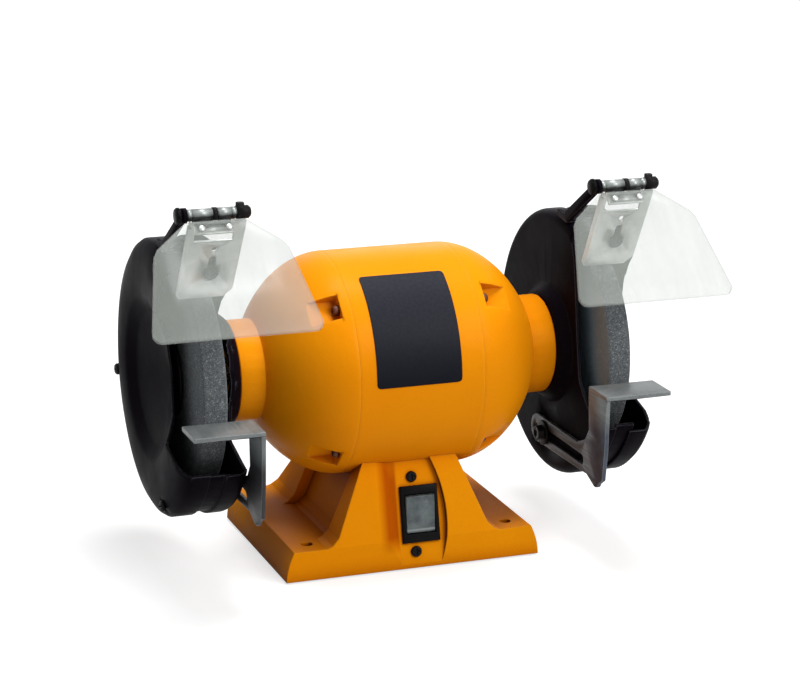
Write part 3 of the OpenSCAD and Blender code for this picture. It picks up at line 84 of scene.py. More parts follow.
class Finish:
    """A new material with a Principled shader, and short calls that add its nodes.
    Scales of textures are per metre, depths and reaches are in metres."""

    def __init__(self, name, colour, rough, metal=0.0, gloss=0.5):
        self.mat = bpy.data.materials.new(name)
        self.mat.use_nodes = True
        self.tree = self.mat.node_tree
        self.shader = self.tree.nodes["Principled BSDF"]
        self.fix("Base Color", (*colour, 1))
        self.fix("Roughness", rough)
        self.fix("Metallic", metal)
        self.fix("Specular IOR Level", gloss)
        self.place = self.put("ShaderNodeTexCoord").outputs["Object"]
        self.heights = []

    def put(self, kind, sockets=None, **settings):
        return put(self.tree, kind, sockets, **settings)

    def fix(self, socket, value):
        """A value that is the same all over."""
        self.shader.inputs[socket].default_value = value

    def link(self, source, socket):
        self.tree.links.new(source, self.shader.inputs[socket])

    def axis(self, letter):
        """The piece's own X, Y or Z."""
        return self.put("ShaderNodeSeparateXYZ", {"Vector": self.place}).outputs[letter]

    def facing(self, letter):
        """How far the surface faces along X, Y or Z, from -1 to 1."""
        normal = self.put("ShaderNodeNewGeometry").outputs["Normal"]
        return self.put("ShaderNodeSeparateXYZ", {"Vector": normal}).outputs[letter]

    def stretched(self, scale):
        """The piece's own coordinates, scaled along each axis."""
        return self.put("ShaderNodeMapping", {"Vector": self.place, "Scale": scale}).outputs["Vector"]

    def noise(self, scale, detail=3.0, rough=0.55, place=None):
        node = self.put("ShaderNodeTexNoise", {"Vector": place or self.place, "Scale": scale,
                                               "Detail": detail, "Roughness": rough})
        return node.outputs["Fac"]

    def streaks(self, scale, detail=4.0, rough=0.6):
        """Noise with its own scale along each axis."""
        return self.noise(1.0, detail, rough, self.stretched(scale))

    def cells(self, scale, output="Distance"):
        return self.put("ShaderNodeTexVoronoi", {"Vector": self.place, "Scale": scale}).outputs[output]

    def ramp(self, fac, stops):
        """Colours at given places of a 0 to 1 value."""
        node = self.put("ShaderNodeValToRGB", {"Fac": fac})
        band = node.color_ramp
        while len(band.elements) < len(stops):
            band.elements.new(0.5)
        for element, (at, colour) in zip(band.elements, stops):
            element.position = at
            element.color = (*colour, 1)
        return node.outputs["Color"]

    def spread(self, fac, low, high, to_low, to_high):
        node = self.put("ShaderNodeMapRange", {"Value": fac, "From Min": low, "From Max": high,
                                               "To Min": to_low, "To Max": to_high})
        return node.outputs["Result"]

    def rise(self, fac, low, high, top=1.0):
        """0 below low, top above high."""
        return self.spread(fac, low, high, 0.0, top)

    def fall(self, fac, low, high, top=1.0):
        """Top below low, 0 above high."""
        return self.spread(fac, low, high, top, 0.0)

    def blend(self, fac, a, b):
        node = self.put("ShaderNodeMix", data_type="RGBA")
        for socket, value in ((node.inputs[0], fac), (node.inputs[6], a), (node.inputs[7], b)):
            if isinstance(value, bpy.types.NodeSocket):
                self.tree.links.new(value, socket)
            else:
                socket.default_value = (*value, 1)
        return node.outputs[2]

    def sum(self, a, b):
        return self.put("ShaderNodeMath", {0: a, 1: b}, operation="ADD").outputs[0]

    def times(self, a, b):
        return self.put("ShaderNodeMath", {0: a, 1: b}, operation="MULTIPLY").outputs[0]

    def hollows(self, reach):
        """Near 0 in corners and creases, 1 on open surfaces: the mask for painted shade."""
        node = self.put("ShaderNodeAmbientOcclusion", {"Distance": reach}, samples=HOLLOW_SAMPLES)
        return node.outputs["AO"]

    def rounded_normal(self, radius):
        return self.put("ShaderNodeBevel", {"Radius": radius}, samples=BEVEL_SAMPLES).outputs["Normal"]

    def pale_edges(self, tone, colour, radius, share):
        """Edges tighter than the radius, where a rounded normal leans from the true one, take on a colour: a
        painted highlight along the edges.
        """
        true = self.put("ShaderNodeNewGeometry").outputs["Normal"]
        both = {0: self.rounded_normal(radius), 1: true}
        lean = self.put("ShaderNodeVectorMath", both, operation="DOT_PRODUCT").outputs["Value"]
        return self.blend(self.times(self.fall(lean, *EDGE_LEAN), share), tone, colour)

    def uneven_gloss(self, pattern, low, high):
        """Roughness from low to high, after a noise."""
        self.link(self.spread(pattern, *NOISE_SPAN, low, high), "Roughness")

    def relief(self, height, depth, strength):
        """Adds a bump."""
        self.heights.append((height, depth, strength))

    def done(self, edge=0.0):
        """Links the bumps, over rounded edges where edge is their radius."""
        normal = self.rounded_normal(edge) if edge else None
        for height, depth, strength in self.heights:
            sockets = {"Height": height, "Distance": depth, "Strength": strength}
            if normal:
                sockets["Normal"] = normal
            normal = self.put("ShaderNodeBump", sockets).outputs["Normal"]
        if normal:
            self.link(normal, "Normal")
        return self.mat


def srgb(r, g, b):
    """Screen colour, 0 to 255, as the linear colour that shaders take."""
    channels = (r / 255, g / 255, b / 255)
    return tuple(c / 12.92 if c <= 0.04045 else ((c + 0.055) / 1.055) ** 2.4 for c in channels)


def scaled(colour, factor):
    return tuple(c * factor for c in colour)


# ---------------------------------------------------------------- finishes

PAINT = srgb(249, 150, 8)
PAINT_DEEP = srgb(190, 84, 3)
PAINT_PALE = srgb(252, 158, 12)
PAINT_EDGE_HIGHLIGHT = srgb(255, 190, 70)
PAINT_COVE_SHADE = srgb(104, 48, 6)
PAINT_ROUGH = 0.36
CREASE_REACH = 0.014
COVE_REACH = 0.07
DIRT_AND_SHADE_REACH = 0.006
RECESS_X = ((-0.0245, -0.0175), (-0.0105, -0.0085))     # where the painted shade on the recess' side slope begins and ends
RECESS_Y = (-0.058, -0.05)
RECESS_Z = (0.012, 0.024)
FRONT_FACING = (-0.9, -0.6)                             # facing along Y: full front, and no longer front

ENAMEL_ROUGH = 0.4
SHEET_TO_BARREL = (0.2562, 0.2568)                      # Z where the sheet turns into the hinge barrels
HINGE_BARREL = (0.2565, 0.2655)                         # Z from the barrels' underside to their top
REST_TOP = (0.096, 0.112)                               # Z from the painted shade down the arm to the brushed work face
REST_LEFT_RIGHT = (-0.05, 0.05)                         # X between the two rests
REST_BAR = (-0.088, -0.074)                             # Y where the slotted bar begins
INBOARD = (-0.12, -0.08)                                # X times facing along X, on the wheels' inner sides
LIP_Z = ((0.0262, 0.0268), (0.0276, 0.0282))            # the rocker's painted highlight line: begins, ends
PLATE_Z = (0.13, 0.2)                                   # from the plate's darker end to its paler one, paler by painted light
HAZE_COVER = (0.28, 0.32)                               # light stopped by each face of the clear sheet
GRAINS = 1500.0
LAMINATION = 0.0007


def powder_coat(name, edge, foot=False):
    """Cast and sprayed enamel: orange-peel skin, slow shifts of tone, painted shade deepening the colour in
    the creases.
    The foot has more painted shade, on a slope of its switch recess and in the wide hollows beside the
    pedestal."""
    f = Finish(name, PAINT, PAINT_ROUGH, gloss=0.008 if foot else 0.025)
    if not foot:
        f.fix("Coat Weight", 0.008)
        f.fix("Coat Roughness", 0.12)
    tone = f.blend(f.rise(f.noise(9.0, detail=2.0), *PATCH_SPAN), PAINT, PAINT_PALE)
    tone = f.blend(f.rise(f.noise(1500.0, detail=2.0), *NOISE_SPAN, top=0.12), tone, PAINT_DEEP)
    # painted shade: the colour deepens where ambient occlusion finds a crease
    creases = f.hollows(CREASE_REACH)
    tone = f.blend(f.fall(creases, 0.25, 0.95, top=0.85), tone, PAINT_DEEP)
    # pale edges: a painted highlight along the sharp edges
    tone = f.pale_edges(tone, PAINT_EDGE_HIGHLIGHT, radius=0.0011, share=0.4)
    if foot:
        # painted shade: a darker band down the left slope of the switch recess
        slope = f.times(f.rise(f.axis("X"), *RECESS_X[0]), f.fall(f.axis("X"), *RECESS_X[1]))
        front = f.times(f.fall(f.axis("Y"), *RECESS_Y), f.rise(f.axis("Z"), *RECESS_Z, top=0.95))
        tone = f.blend(f.times(slope, front), tone, PAINT_DEEP)
        # painted shade: the wide hollows beside the pedestal turn dark brown, on faces turned from the front
        # and in creases
        aside = f.sum(f.rise(f.facing("Y"), *FRONT_FACING), f.fall(creases, 0.2, 0.5))
        cove_shade = f.times(f.fall(f.hollows(COVE_REACH), 0.45, 0.85, top=0.75), aside)
        tone = f.blend(cove_shade, tone, PAINT_COVE_SHADE)
    f.link(tone, "Base Color")
    f.uneven_gloss(f.noise(34.0, detail=4.0), low=PAINT_ROUGH - 0.07, high=PAINT_ROUGH + 0.09)
    f.relief(f.noise(420.0, detail=3.0, rough=0.5), depth=0.00022, strength=0.5)
    f.relief(f.noise(55.0, detail=2.0), depth=0.0006, strength=0.35)
    return f.done(edge)


def black_enamel(name):
    """Satin black on pressed sheet: a fine skin, a trace of dust, rubbed patches and a painted highlight
    along the edges.
    """
    f = Finish(name, srgb(17, 13, 19), ENAMEL_ROUGH, gloss=0.009)
    dust = f.rise(f.noise(70.0, detail=5.0, rough=0.65), 0.5, 0.85, top=0.35)
    skin = f.blend(dust, srgb(15, 11, 17), srgb(38, 34, 40))
    # pale edges: a painted highlight along the sharp edges and creases
    f.link(f.pale_edges(skin, srgb(120, 118, 126), radius=0.0012, share=0.55), "Base Color")
    f.uneven_gloss(f.noise(28.0, detail=5.0), low=ENAMEL_ROUGH - 0.05, high=ENAMEL_ROUGH + 0.12)
    f.relief(f.noise(900.0, detail=2.0), depth=0.0001, strength=0.5)
    f.relief(f.noise(38.0, detail=2.0), depth=0.0006, strength=0.22)
    return f.done(edge=0.0009)


def steel(name, colour, rough, streak=(40.0, 900.0, 900.0), metal=0.9, scuff=0.4, gloss=0.5):
    """Steel with the streaks of its rolling or turning, scuffs, and dirt with painted shade darkening the
    corners.
    """
    f = Finish(name, colour, rough, metal, gloss)
    lines = f.streaks(streak)
    blots = f.noise(60.0, detail=4.0, rough=0.6)
    tone = f.blend(f.rise(f.sum(lines, blots), *DOUBLE_SPAN), scaled(colour, 1 - scuff), colour)
    # dirt and painted shade: darker where ambient occlusion finds a corner
    dirt_and_shade = f.fall(f.hollows(DIRT_AND_SHADE_REACH), 0.3, 0.9, top=0.6)
    f.link(f.blend(dirt_and_shade, tone, scaled(colour, 0.35)), "Base Color")
    f.uneven_gloss(lines, low=rough - 0.08, high=rough + 0.12)
    f.relief(lines, depth=0.00006, strength=0.6)
    f.relief(blots, depth=0.0001, strength=0.3)
    return f.done(edge=0.0005)


def zinc_plate(name):
    """Zinc-plated sheet: pale and matt on the flat; on the hinge barrels a painted reflection, pale at the
    very bottom, black through their lower half and bright along their top."""
    f = Finish(name, srgb(196, 199, 197), rough=0.36, metal=0.45)
    blots = f.noise(60.0, detail=4.0, rough=0.6)
    sheet = f.blend(f.rise(blots, *PATCH_SPAN), srgb(176, 180, 177), srgb(214, 217, 214))
    height = f.sum(f.axis("Z"), f.spread(f.noise(300.0, detail=2.0), *NOISE_SPAN, -0.0003, 0.0003))
    # painted reflection on the hinge barrels: a black band below, a bright band along the top
    barrel = f.ramp(f.rise(height, *HINGE_BARREL),
                    [(0.0, srgb(150, 153, 152)), (0.14, srgb(22, 22, 24)), (0.42, srgb(28, 28, 30)),
                     (0.56, srgb(128, 134, 132)), (0.8, srgb(168, 174, 171)), (1.0, srgb(110, 115, 114))])
    f.link(f.blend(f.rise(f.axis("Z"), *SHEET_TO_BARREL), sheet, barrel), "Base Color")
    f.uneven_gloss(blots, low=0.3, high=0.46)
    f.relief(blots, depth=0.0001, strength=0.3)
    return f.done(edge=0.0004)


def rest_plate(name):
    """Bare steel plate: brushed and pale on the work face above, a blue-grey painted shade down the arm,
    deeper on the left rest, and nearly black along the slotted bar behind."""
    f = Finish(name, srgb(118, 123, 124), rough=0.45, metal=0.15)
    lines = f.streaks((900.0, 40.0, 900.0))
    blots = f.noise(60.0, detail=4.0, rough=0.6)
    brushed = f.blend(f.rise(f.sum(lines, blots), *DOUBLE_SPAN), srgb(98, 103, 104), srgb(128, 133, 133))
    # painted shade down the arm, deeper still on the left rest
    shaded_arm = f.blend(f.rise(blots, *PATCH_SPAN), srgb(44, 53, 66), srgb(62, 74, 88))
    shaded_arm = f.blend(f.rise(f.axis("X"), *REST_LEFT_RIGHT), srgb(17, 15, 21), shaded_arm)
    shaded_arm = f.blend(f.rise(f.axis("Y"), *REST_BAR), shaded_arm, srgb(20, 20, 24))
    tone = f.blend(f.rise(f.axis("Z"), *REST_TOP), shaded_arm, brushed)
    # pale edges: a painted highlight along the sharp edges
    f.link(f.pale_edges(tone, srgb(176, 181, 181), radius=0.0009, share=0.6), "Base Color")
    f.uneven_gloss(lines, low=0.36, high=0.56)
    f.relief(lines, depth=0.00006, strength=0.6)
    f.relief(blots, depth=0.0001, strength=0.3)
    return f.done(edge=0.0004)


def grit(name):
    """Bonded abrasive: grains in mixed greys with pits between them and a few bright facets; painted light
    makes the wheels' inner sides paler and bluer."""
    f = Finish(name, srgb(88, 92, 94), rough=0.85, gloss=0.3)
    shade = f.put("ShaderNodeSeparateColor", {"Color": f.cells(GRAINS, "Color")}).outputs["Red"]
    body = f.ramp(shade, [(0.0, srgb(80, 84, 88)), (0.45, srgb(102, 107, 110)), (0.9, srgb(124, 129, 131)),
                          (0.985, srgb(168, 172, 172))])
    body = f.blend(f.rise(f.noise(160.0, detail=5.0, rough=0.7), 0.38, 0.7, top=0.5), body, srgb(82, 87, 91))
    # painted light: the shaded inner sides of the wheels are lifted paler and bluer
    painted_inboard_light = f.fall(f.times(f.axis("X"), f.facing("X")), *INBOARD, top=0.6)
    f.link(f.blend(painted_inboard_light, body, srgb(134, 156, 168)), "Base Color")
    f.relief(f.cells(GRAINS), depth=0.0004, strength=0.35)
    f.relief(f.noise(260.0, detail=5.0, rough=0.7), depth=0.0004, strength=0.35)
    return f.done()


def haze_sheet(name):
    """Scuffed clear sheet: a milky skin over what lies behind it, rubbed along its length."""
    colour = srgb(174, 180, 174)
    f = Finish(name, colour, rough=0.2, gloss=0.2)
    wear = f.noise(16.0, detail=4.0, rough=0.55)
    rub = f.streaks((160.0, 20.0, 20.0), detail=3.0)
    f.link(f.blend(f.rise(wear, *LOOSE_SPAN), colour, scaled(colour, 1.1)), "Base Color")
    f.link(f.spread(f.sum(wear, rub), *DOUBLE_SPAN, *HAZE_COVER), "Alpha")
    f.uneven_gloss(rub, low=0.14, high=0.26)
    return f.done()


def moulded(name, colour, rough, coarse=900.0, gloss=0.12):
    """Moulded plastic or rubber: spark-eroded grain with slightly uneven gloss."""
    f = Finish(name, colour, rough, gloss=gloss)
    pale = tuple(1.25 * c + 0.004 for c in colour)
    f.link(f.blend(f.rise(f.noise(45.0, detail=4.0), *LOOSE_SPAN), colour, pale), "Base Color")
    f.uneven_gloss(f.noise(80.0), low=rough - 0.06, high=rough + 0.08)
    f.relief(f.noise(coarse, detail=2.0), depth=0.00012, strength=0.7)
    return f.done(edge=0.0004)


def rocker_plastic(name):
    """Glossy grey rocker: cloudy moulding marks, and a painted highlight as a pale line along its lower lip.
    """
    f = Finish(name, srgb(76, 86, 87), rough=0.25, gloss=0.4)
    cloud = f.blend(f.rise(f.noise(110.0), 0.35, 0.68), srgb(64, 74, 76), srgb(104, 115, 116))
    # painted highlight: a pale line along the rocker's lower lip
    lip = f.times(f.rise(f.axis("Z"), *LIP_Z[0]), f.fall(f.axis("Z"), *LIP_Z[1], top=0.5))
    f.link(f.blend(lip, cloud, srgb(176, 184, 184)), "Base Color")
    f.uneven_gloss(f.noise(80.0), low=0.18, high=0.34)
    f.relief(f.noise(600.0, detail=2.0), depth=0.00008, strength=0.6)
    return f.done(edge=0.0005)


def film(name):
    """Bare plate film: a dark field with painted light making it a little paler towards the top, and a soft
    sheen.
    """
    f = Finish(name, srgb(34, 35, 41), rough=0.34, gloss=0.02)
    # painted light: the field grows paler towards the top
    field = f.blend(f.rise(f.axis("Z"), *PLATE_Z), srgb(24, 26, 32), srgb(52, 53, 60))
    f.link(f.blend(f.rise(f.noise(500.0), *PATCH_SPAN, top=0.2), field, srgb(22, 22, 26)), "Base Color")
    f.uneven_gloss(f.noise(30.0), low=0.34, high=0.48)
    f.relief(f.noise(700.0, detail=2.0), depth=0.00005, strength=0.5)
    return f.done()


def sheets_on_edge(name):
    """Stacked steel laminations: thin dark joints across the shaft."""
    f = Finish(name, srgb(120, 122, 124), rough=0.5, metal=0.8)
    joint = f.put("ShaderNodeMath", {0: f.times(f.axis("X"), 1 / LAMINATION)}, operation="FRACT").outputs[0]
    f.link(f.blend(f.fall(joint, 0.0, 0.3), srgb(126, 128, 130), srgb(60, 58, 58)), "Base Color")
    f.relief(joint, depth=0.0001, strength=0.5)
    return f.done()


def windings(name):
    """Enamelled copper: rounds of wire along the coil."""
    f = Finish(name, srgb(164, 86, 38), rough=0.3, metal=0.75)
    turn = f.streaks((90.0, 1100.0, 1100.0), detail=2.0, rough=0.4)
    f.link(f.blend(f.rise(turn, *PATCH_SPAN), srgb(110, 48, 20), srgb(196, 112, 54)), "Base Color")
    f.relief(turn, depth=0.0004, strength=0.8)
    return f.done()


FINISHES = {
    "orange_paint": powder_coat("orange_enamel", edge=0.0012, foot=True),
    "black_paint": black_enamel("black_enamel"),
    "grey_sheet": steel("grey_sheet_steel", srgb(205, 208, 204), rough=0.45, metal=0.35, scuff=0.12),
    "zinc_steel": zinc_plate("zinc_plate"),
    "rest_steel": rest_plate("rest_plate"),
    "bright_steel": steel("bright_steel", srgb(208, 208, 206), rough=0.22, scuff=0.2),
    "dark_steel": steel("blackened_steel", srgb(24, 21, 23), rough=0.45, metal=0.15, scuff=0.3, gloss=0.1),
    "wheel_grit": grit("bonded_grit"),
    "clear_sheet": haze_sheet("scuffed_clear_sheet"),
    "black_plastic": moulded("black_plastic", srgb(14, 13, 14), rough=0.4, gloss=0.04),
    "rocker_plastic": rocker_plastic("grey_rocker_plastic"),
    "rubber_black": moulded("black_rubber", srgb(22, 22, 22), rough=0.7, coarse=500.0),
    "plate_film": film("dark_plate_film"),
    "laminations": sheets_on_edge("laminated_core"),
    "copper_wire": windings("copper_windings"),
    "cast_aluminium": steel("cast_aluminium", srgb(190, 192, 194), rough=0.45, streak=(300.0, 300.0, 300.0),
                            scuff=0.2),
    "paper_card": moulded("blotter_card", srgb(52, 46, 44), rough=0.85, coarse=1500.0),
}
MOTOR_ENAMEL = powder_coat("orange_motor_enamel", edge=0.0003)
OWN_FINISH = {
    "stator_housing": MOTOR_ENAMEL, "left_end_bell": MOTOR_ENAMEL, "right_end_bell": MOTOR_ENAMEL,
    "case_screws": steel("browned_screws", srgb(104, 50, 18), rough=0.5, metal=0.2, scuff=0.35),
}

for node, obj in cad_nodes.items():
    for i in range(len(obj.data.materials)):
        obj.data.materials[i] = FINISHES[slot_of[node]]


# ---------------------------------------------------------------- edges rounded on copies of CAD nodes

SHARP_ANGLE = math.radians(35)
NEARLY_ALONG = 0.85
WELD = 0.01 * MM
BEVEL_STEPS = 3
EDGE_RADII = {      # in mm
    "base_cover": 0.4, "rubber_feet": 0.6, "cord_grommet": 0.6, "switch_bezel": 0.5,
    "switch_rocker": 0.5, "switch_screws": 0.35, "stator_housing": 0.12, "left_end_bell": 0.25,
    "right_end_bell": 0.25, "case_screws": 0.35, "left_outer_flange": 0.6, "right_outer_flange": 0.6,
    "left_arbor_nut": 0.6, "right_arbor_nut": 0.6, "left_guard": 0.5, "right_guard": 0.5,
    "left_guard_cover": 0.55, "right_guard_cover": 0.55, "cover_screws": 0.35, "guard_screws": 0.35,
    "left_shield_arm": 0.5, "right_shield_arm": 0.5, "left_deflector": 0.35, "right_deflector": 0.35,
    "left_hinge_rod": 0.3, "right_hinge_rod": 0.3, "left_shield_clamp": 0.25, "right_shield_clamp": 0.25,
    "left_clamp_knob": 0.3, "right_clamp_knob": 0.3, "bracket_screws": 0.35, "left_tool_rest": 0.6,
    "right_tool_rest": 0.6, "rest_clamps": 0.4, "left_eye_shield": 0.5, "right_eye_shield": 0.5,
}


def stand_in(name, mesh, node):
    """A new piece that takes the place of a CAD node, on its body and in its slot."""
    mesh.shade_smooth()
    mesh.materials.append(OWN_FINISH.get(node, FINISHES[slot_of[node]]))
    obj = bpy.data.objects.new(name, mesh)
    bpy.context.scene.collection.objects.link(obj)
    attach(obj, body_of_node[node])
    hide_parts(node)
    return obj


def edge_marks(work, radius):
    """Marks the edges to round: sharper than the limit and longer than two radii.
    Where two marked edges leave a corner in nearly the same direction, the shorter is left sharp."""
    marks = work.edges.layers.float.new("bevel_weight_edge")
    for edge in work.edges:
        sharp = len(edge.link_faces) == 2 and edge.calc_face_angle(0.0) > SHARP_ANGLE
        edge[marks] = 1.0 if sharp and edge.calc_length() > 2 * radius else 0.0
    for corner in work.verts:
        marked = [(edge, (edge.other_vert(corner).co - corner.co).normalized())
                  for edge in corner.link_edges if edge[marks] > 0]
        for i, (edge, way) in enumerate(marked):
            for other, other_way in marked[i + 1:]:
                if way.dot(other_way) > NEARLY_ALONG:
                    min(edge, other, key=lambda e: e.calc_length())[marks] = 0.0


def rounded(node, radius):
    """A copy of a CAD node, welded, its sharp edges rounded by a bevel."""
    work = bmesh.new()
    work.from_mesh(cad_nodes[node].data)
    bmesh.ops.remove_doubles(work, verts=work.verts, dist=WELD)
    bmesh.ops.recalc_face_normals(work, faces=work.faces)
    edge_marks(work, radius)
    mesh = bpy.data.meshes.new(node + "_shape")
    work.to_mesh(mesh)
    work.free()
    bevel = stand_in(node + "_shape", mesh, node).modifiers.new("edges", "BEVEL")
    bevel.width = radius
    bevel.segments = BEVEL_STEPS
    bevel.limit_method = "WEIGHT"
    bevel.miter_outer = "MITER_ARC"
    bevel.use_clamp_overlap = False
    bevel.harden_normals = True


for node, radius in EDGE_RADII.items():
    rounded(node, radius * MM)


# ---------------------------------------------------------------- wheels and name plate

BORE_R = 6.5 * MM
BORE_CUT = 0.4 * MM
RIM_CUT = 1.6 * MM
RIM_FROM = 0.97             # share of the radius beyond which a wheel is dressed
DRESS_DEPTH = 0.12 * MM
DRESS_PITCH = 3.1 * MM
DRESS_SWAY = 2.0
GRAIN_DEPTH = 0.06 * MM
GRAIN_SEED = 11
WHEEL_AROUND = 420
OUTLINE_STEP = 1.0 * MM
PLATE_R = 76.63 * MM
PLATE_UP = 31.0             # degrees from the front to the plate's middle
PLATE_ANGLE = 61.0
PLATE_CORNER = 3.2 * MM
PLATE_T = 0.6 * MM
PLATE_RINGS = 24
PLATE_FLAT = (0.02, 0.97)   # scales of the first and last ring at full height
PLATE_RIM = ((0.985, 1.0), (0.995, 0.9), (1.0, 0.6), (1.0, -1 / 3))     # scale, share of the height


def quads_between(rings, around):
    """Quads that join each ring of points to the next, closed around."""
    i = np.arange(rings - 1)[:, None] * around
    j = np.arange(around)[None, :]
    k = (j + 1) % around
    return np.stack([i + j, i + k, i + around + k, i + around + j], axis=-1).reshape(-1, 4)


def softened(corners, cut, steps=5):
    """A closed outline with each corner turned into a quadratic curve:
    (1-s)^2 times the point before it, 2s(1-s) times the corner, s^2 times the point after it."""
    before = np.roll(corners, 1, axis=0) - corners
    after = np.roll(corners, -1, axis=0) - corners
    start = corners + before / np.linalg.norm(before, axis=1, keepdims=True) * cut[:, None]
    end = corners + after / np.linalg.norm(after, axis=1, keepdims=True) * cut[:, None]
    s = np.linspace(0, 1, steps)[None, :, None]
    curve = (1 - s) ** 2 * start[:, None] + 2 * s * (1 - s) * corners[:, None] + s ** 2 * end[:, None]
    return curve.reshape(-1, 2)


def evenly(outline):
    """The same closed outline in even steps of about the usual length."""
    loop = np.vstack([outline, outline[:1]])
    along = np.concatenate([[0], np.cumsum(np.linalg.norm(np.diff(loop, axis=0), axis=1))])
    at = np.linspace(0, along[-1], int(along[-1] / OUTLINE_STEP), endpoint=False)
    return np.stack([np.interp(at, along, loop[:, 0]), np.interp(at, along, loop[:, 1])], axis=1)


def piece(name, points, faces, node):
    """A new piece from rows of points and lists of faces, in place of a CAD node."""
    mesh = bpy.data.meshes.new(name)
    mesh.from_pydata(points.reshape(-1, 3).tolist(), [], faces)
    mesh.validate()
    mesh.update()
    stand_in(name, mesh, node)


def grinding_wheel(side, sign):
    """A closed profile (x, r) turned about the shaft: y = r cos t, z = r sin t from its axis. The rim is
    dressed: r falls by shallow waves along x, and every point is off by the size of a grain."""
    low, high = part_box(side + "_grinding_wheel")
    outer = (high[2] - low[2]) / 2
    corners = np.array([[low[0], BORE_R], [low[0], outer], [high[0], outer], [high[0], BORE_R]])
    profile = evenly(softened(corners, np.array([BORE_CUT, RIM_CUT, RIM_CUT, BORE_CUT])))
    rows = len(profile)
    t = np.linspace(0, 2 * np.pi, WHEEL_AROUND, endpoint=False)[None, :]
    x, r = profile[:, :1], profile[:, 1:]
    rim = np.clip((r / outer - RIM_FROM) / (1 - RIM_FROM), 0, 1)
    dress = DRESS_DEPTH * rim * (1 + np.sin(x * 2 * np.pi / DRESS_PITCH + sign + DRESS_SWAY * np.sin(t)))
    chance = np.random.default_rng(GRAIN_SEED + int(sign))
    r = r - dress + chance.uniform(-GRAIN_DEPTH, 0.0, (rows, WHEEL_AROUND)) * rim
    points = np.stack([x + 0 * r, SHAFT_Y + r * np.cos(t), SHAFT_Z + r * np.sin(t)], axis=-1)
    faces = quads_between(rows + 1, WHEEL_AROUND) % (rows * WHEEL_AROUND)
    piece(side + "_wheel_shape", points, faces.tolist(), side + "_grinding_wheel")


def name_plate():
    """A rectangle with round corners, scaled by s about its middle, laid on the barrel: the distance v up
    the plate turns into the angle v / R; the height above the barrel falls off over the last rings."""
    low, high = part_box("name_plate")
    half = np.array([(high[0] - low[0]) / 2, PLATE_R * math.radians(PLATE_ANGLE / 2)])
    corners = np.array([[-1, -1], [1, -1], [1, 1], [-1, 1]]) * half
    outline = evenly(softened(corners, np.full(4, PLATE_CORNER), 8))
    rim_scale, rim_height = np.array(PLATE_RIM).T
    s = np.concatenate([np.linspace(*PLATE_FLAT, PLATE_RINGS), rim_scale])
    lift = PLATE_T * np.concatenate([np.ones(PLATE_RINGS), rim_height])
    flat = s[:, None, None] * outline[None]
    turn = math.radians(PLATE_UP) + flat[..., 1] / PLATE_R
    r = PLATE_R + lift[:, None]
    x = (low[0] + high[0]) / 2 + flat[..., 0]
    points = np.stack([x, SHAFT_Y - r * np.cos(turn), SHAFT_Z + r * np.sin(turn)], axis=-1)
    around = len(outline)
    middle = list(range(around))[::-1]
    piece("name_plate_shape", points, quads_between(len(s), around).tolist() + [middle], "name_plate")


for side, sign in SIDES.items():
    grinding_wheel(side, sign)
name_plate()


# ---------------------------------------------------------------- camera, stage and lamps

VIEW_AZIMUTH = -20.19
VIEW_ELEVATION = 15.52
VIEW_ROLL = 0.41
VIEW_TARGET = Vector((0.01075, -0.00999, 0.14019))
VIEW_DISTANCE = 1.79225
VIEW_LENS = 116.61
SENSOR_WIDTH = 36.0
CLIP_START = 0.05
WORLD_LEVEL = 0.14
FLOOR_HALF = 8.0
FLOOR_GREY = 0.5
FLOOR_NEAR = 0.68
FLOOR_FAR = 0.9
FLOOR_RISE = (0.3, 2.6)                 # distances between which the floor's own light rises
LAMP_AIM = Vector((0.0, 0.0, 0.12))
LAMPS = {                               # place, size, power
    "key_lamp": ((1.0, -1.7, 1.5), 1.3, 36.0),
    "top_lamp": ((0.15, 0.1, 1.9), 0.7, 28.0),
    "fill_lamp": ((-1.7, -1.5, 0.6), 1.2, 1.2),
    "back_lamp": ((0.4, 1.8, 1.0), 1.2, 6.0),
}


def aim_camera():
    """The camera looks at the target from an azimuth and an elevation, with a small roll."""
    a, e, r = (math.radians(x) for x in (VIEW_AZIMUTH, VIEW_ELEVATION, VIEW_ROLL))
    back = Vector((math.sin(a) * math.cos(e), -math.cos(a) * math.cos(e), math.sin(e)))
    across = Vector((math.cos(a), math.sin(a), 0))
    up = back.cross(across)
    right = math.cos(r) * across + math.sin(r) * up
    above = math.cos(r) * up - math.sin(r) * across
    camera = bpy.data.objects.new("camera", bpy.data.cameras.new("camera"))
    camera.data.sensor_width = SENSOR_WIDTH
    camera.data.lens = VIEW_LENS
    camera.data.clip_start = CLIP_START
    turned = Matrix((right, above, back)).transposed().to_4x4()
    turned.translation = VIEW_TARGET + back * VIEW_DISTANCE
    camera.matrix_world = turned
    bpy.context.scene.collection.objects.link(camera)
    bpy.context.scene.camera = camera


def lamp(name, place, size, power):
    """A square area lamp that faces the part."""
    light = bpy.data.lights.new(name, "AREA")
    light.size = size
    light.energy = power
    obj = bpy.data.objects.new(name, light)
    obj.location = place
    obj.rotation_mode = "QUATERNION"
    obj.rotation_quaternion = (LAMP_AIM - Vector(place)).to_track_quat("-Z", "Y")
    bpy.context.scene.collection.objects.link(obj)


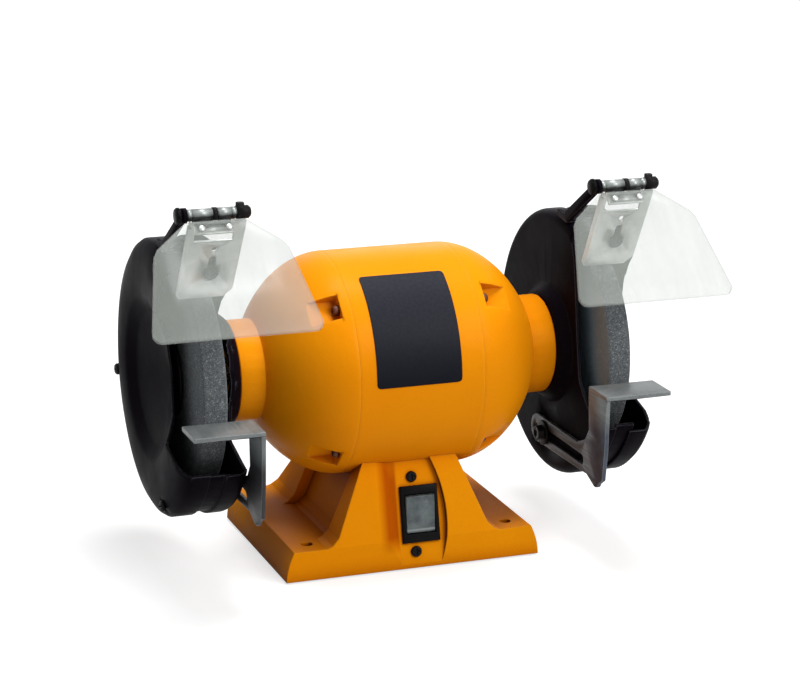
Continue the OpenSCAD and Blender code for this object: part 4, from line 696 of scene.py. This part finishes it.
def seen_ray(tree):
    """1 for camera rays, reflections and rays through clear pieces, 0 for the rest of the light."""
    path = put(tree, "ShaderNodeLightPath")
    total = path.outputs["Is Camera Ray"]
    for kind in ("Is Glossy Ray", "Is Transmission Ray"):
        total = put(tree, "ShaderNodeMath", {0: total, 1: path.outputs[kind]}, operation="MAXIMUM").outputs[0]
    return total


def white_floor():
    """A wide matt floor that is white to the camera; near the part its shadow shows."""
    h = FLOOR_HALF
    mesh = bpy.data.meshes.new("floor")
    mesh.from_pydata([(-h, -h, 0), (h, -h, 0), (h, h, 0), (-h, h, 0)], [], [(0, 1, 2, 3)])
    floor = bpy.data.objects.new("floor", mesh)
    bpy.context.scene.collection.objects.link(floor)
    mat = bpy.data.materials.new("white_floor")
    mat.use_nodes = True
    tree = mat.node_tree
    tree.nodes.clear()
    place = put(tree, "ShaderNodeTexCoord").outputs["Object"]
    away = put(tree, "ShaderNodeVectorMath", {0: place}, operation="LENGTH").outputs["Value"]
    spans = {"From Min": FLOOR_RISE[0], "From Max": FLOOR_RISE[1], "To Min": FLOOR_NEAR, "To Max": FLOOR_FAR}
    rise = put(tree, "ShaderNodeMapRange", {"Value": away, **spans}).outputs["Result"]
    level = put(tree, "ShaderNodeMath", {0: rise, 1: seen_ray(tree)}, operation="MULTIPLY").outputs[0]
    matt = put(tree, "ShaderNodeBsdfDiffuse", {"Color": (FLOOR_GREY, FLOOR_GREY, FLOOR_GREY, 1)}).outputs[0]
    glow = put(tree, "ShaderNodeEmission", {"Strength": level}).outputs[0]
    both = put(tree, "ShaderNodeAddShader", {0: matt, 1: glow}).outputs[0]
    put(tree, "ShaderNodeOutputMaterial", {"Surface": both})
    mesh.materials.append(mat)


def white_world():
    """A white surround to the camera and in reflections, a dimmer one as light."""
    world = bpy.data.worlds.new("studio")
    bpy.context.scene.world = world
    world.use_nodes = True
    tree = world.node_tree
    ground = tree.nodes["Background"]
    level = put(tree, "ShaderNodeMapRange", {"Value": seen_ray(tree), "To Min": WORLD_LEVEL, "To Max": 1.0})
    tree.links.new(level.outputs["Result"], ground.inputs["Strength"])
    ground.inputs["Color"].default_value = (1, 1, 1, 1)


aim_camera()
white_floor()
white_world()
for name, (place, size, power) in LAMPS.items():
    lamp(name, place, size, power)
bpy.context.scene.view_settings.view_transform = "Standard"
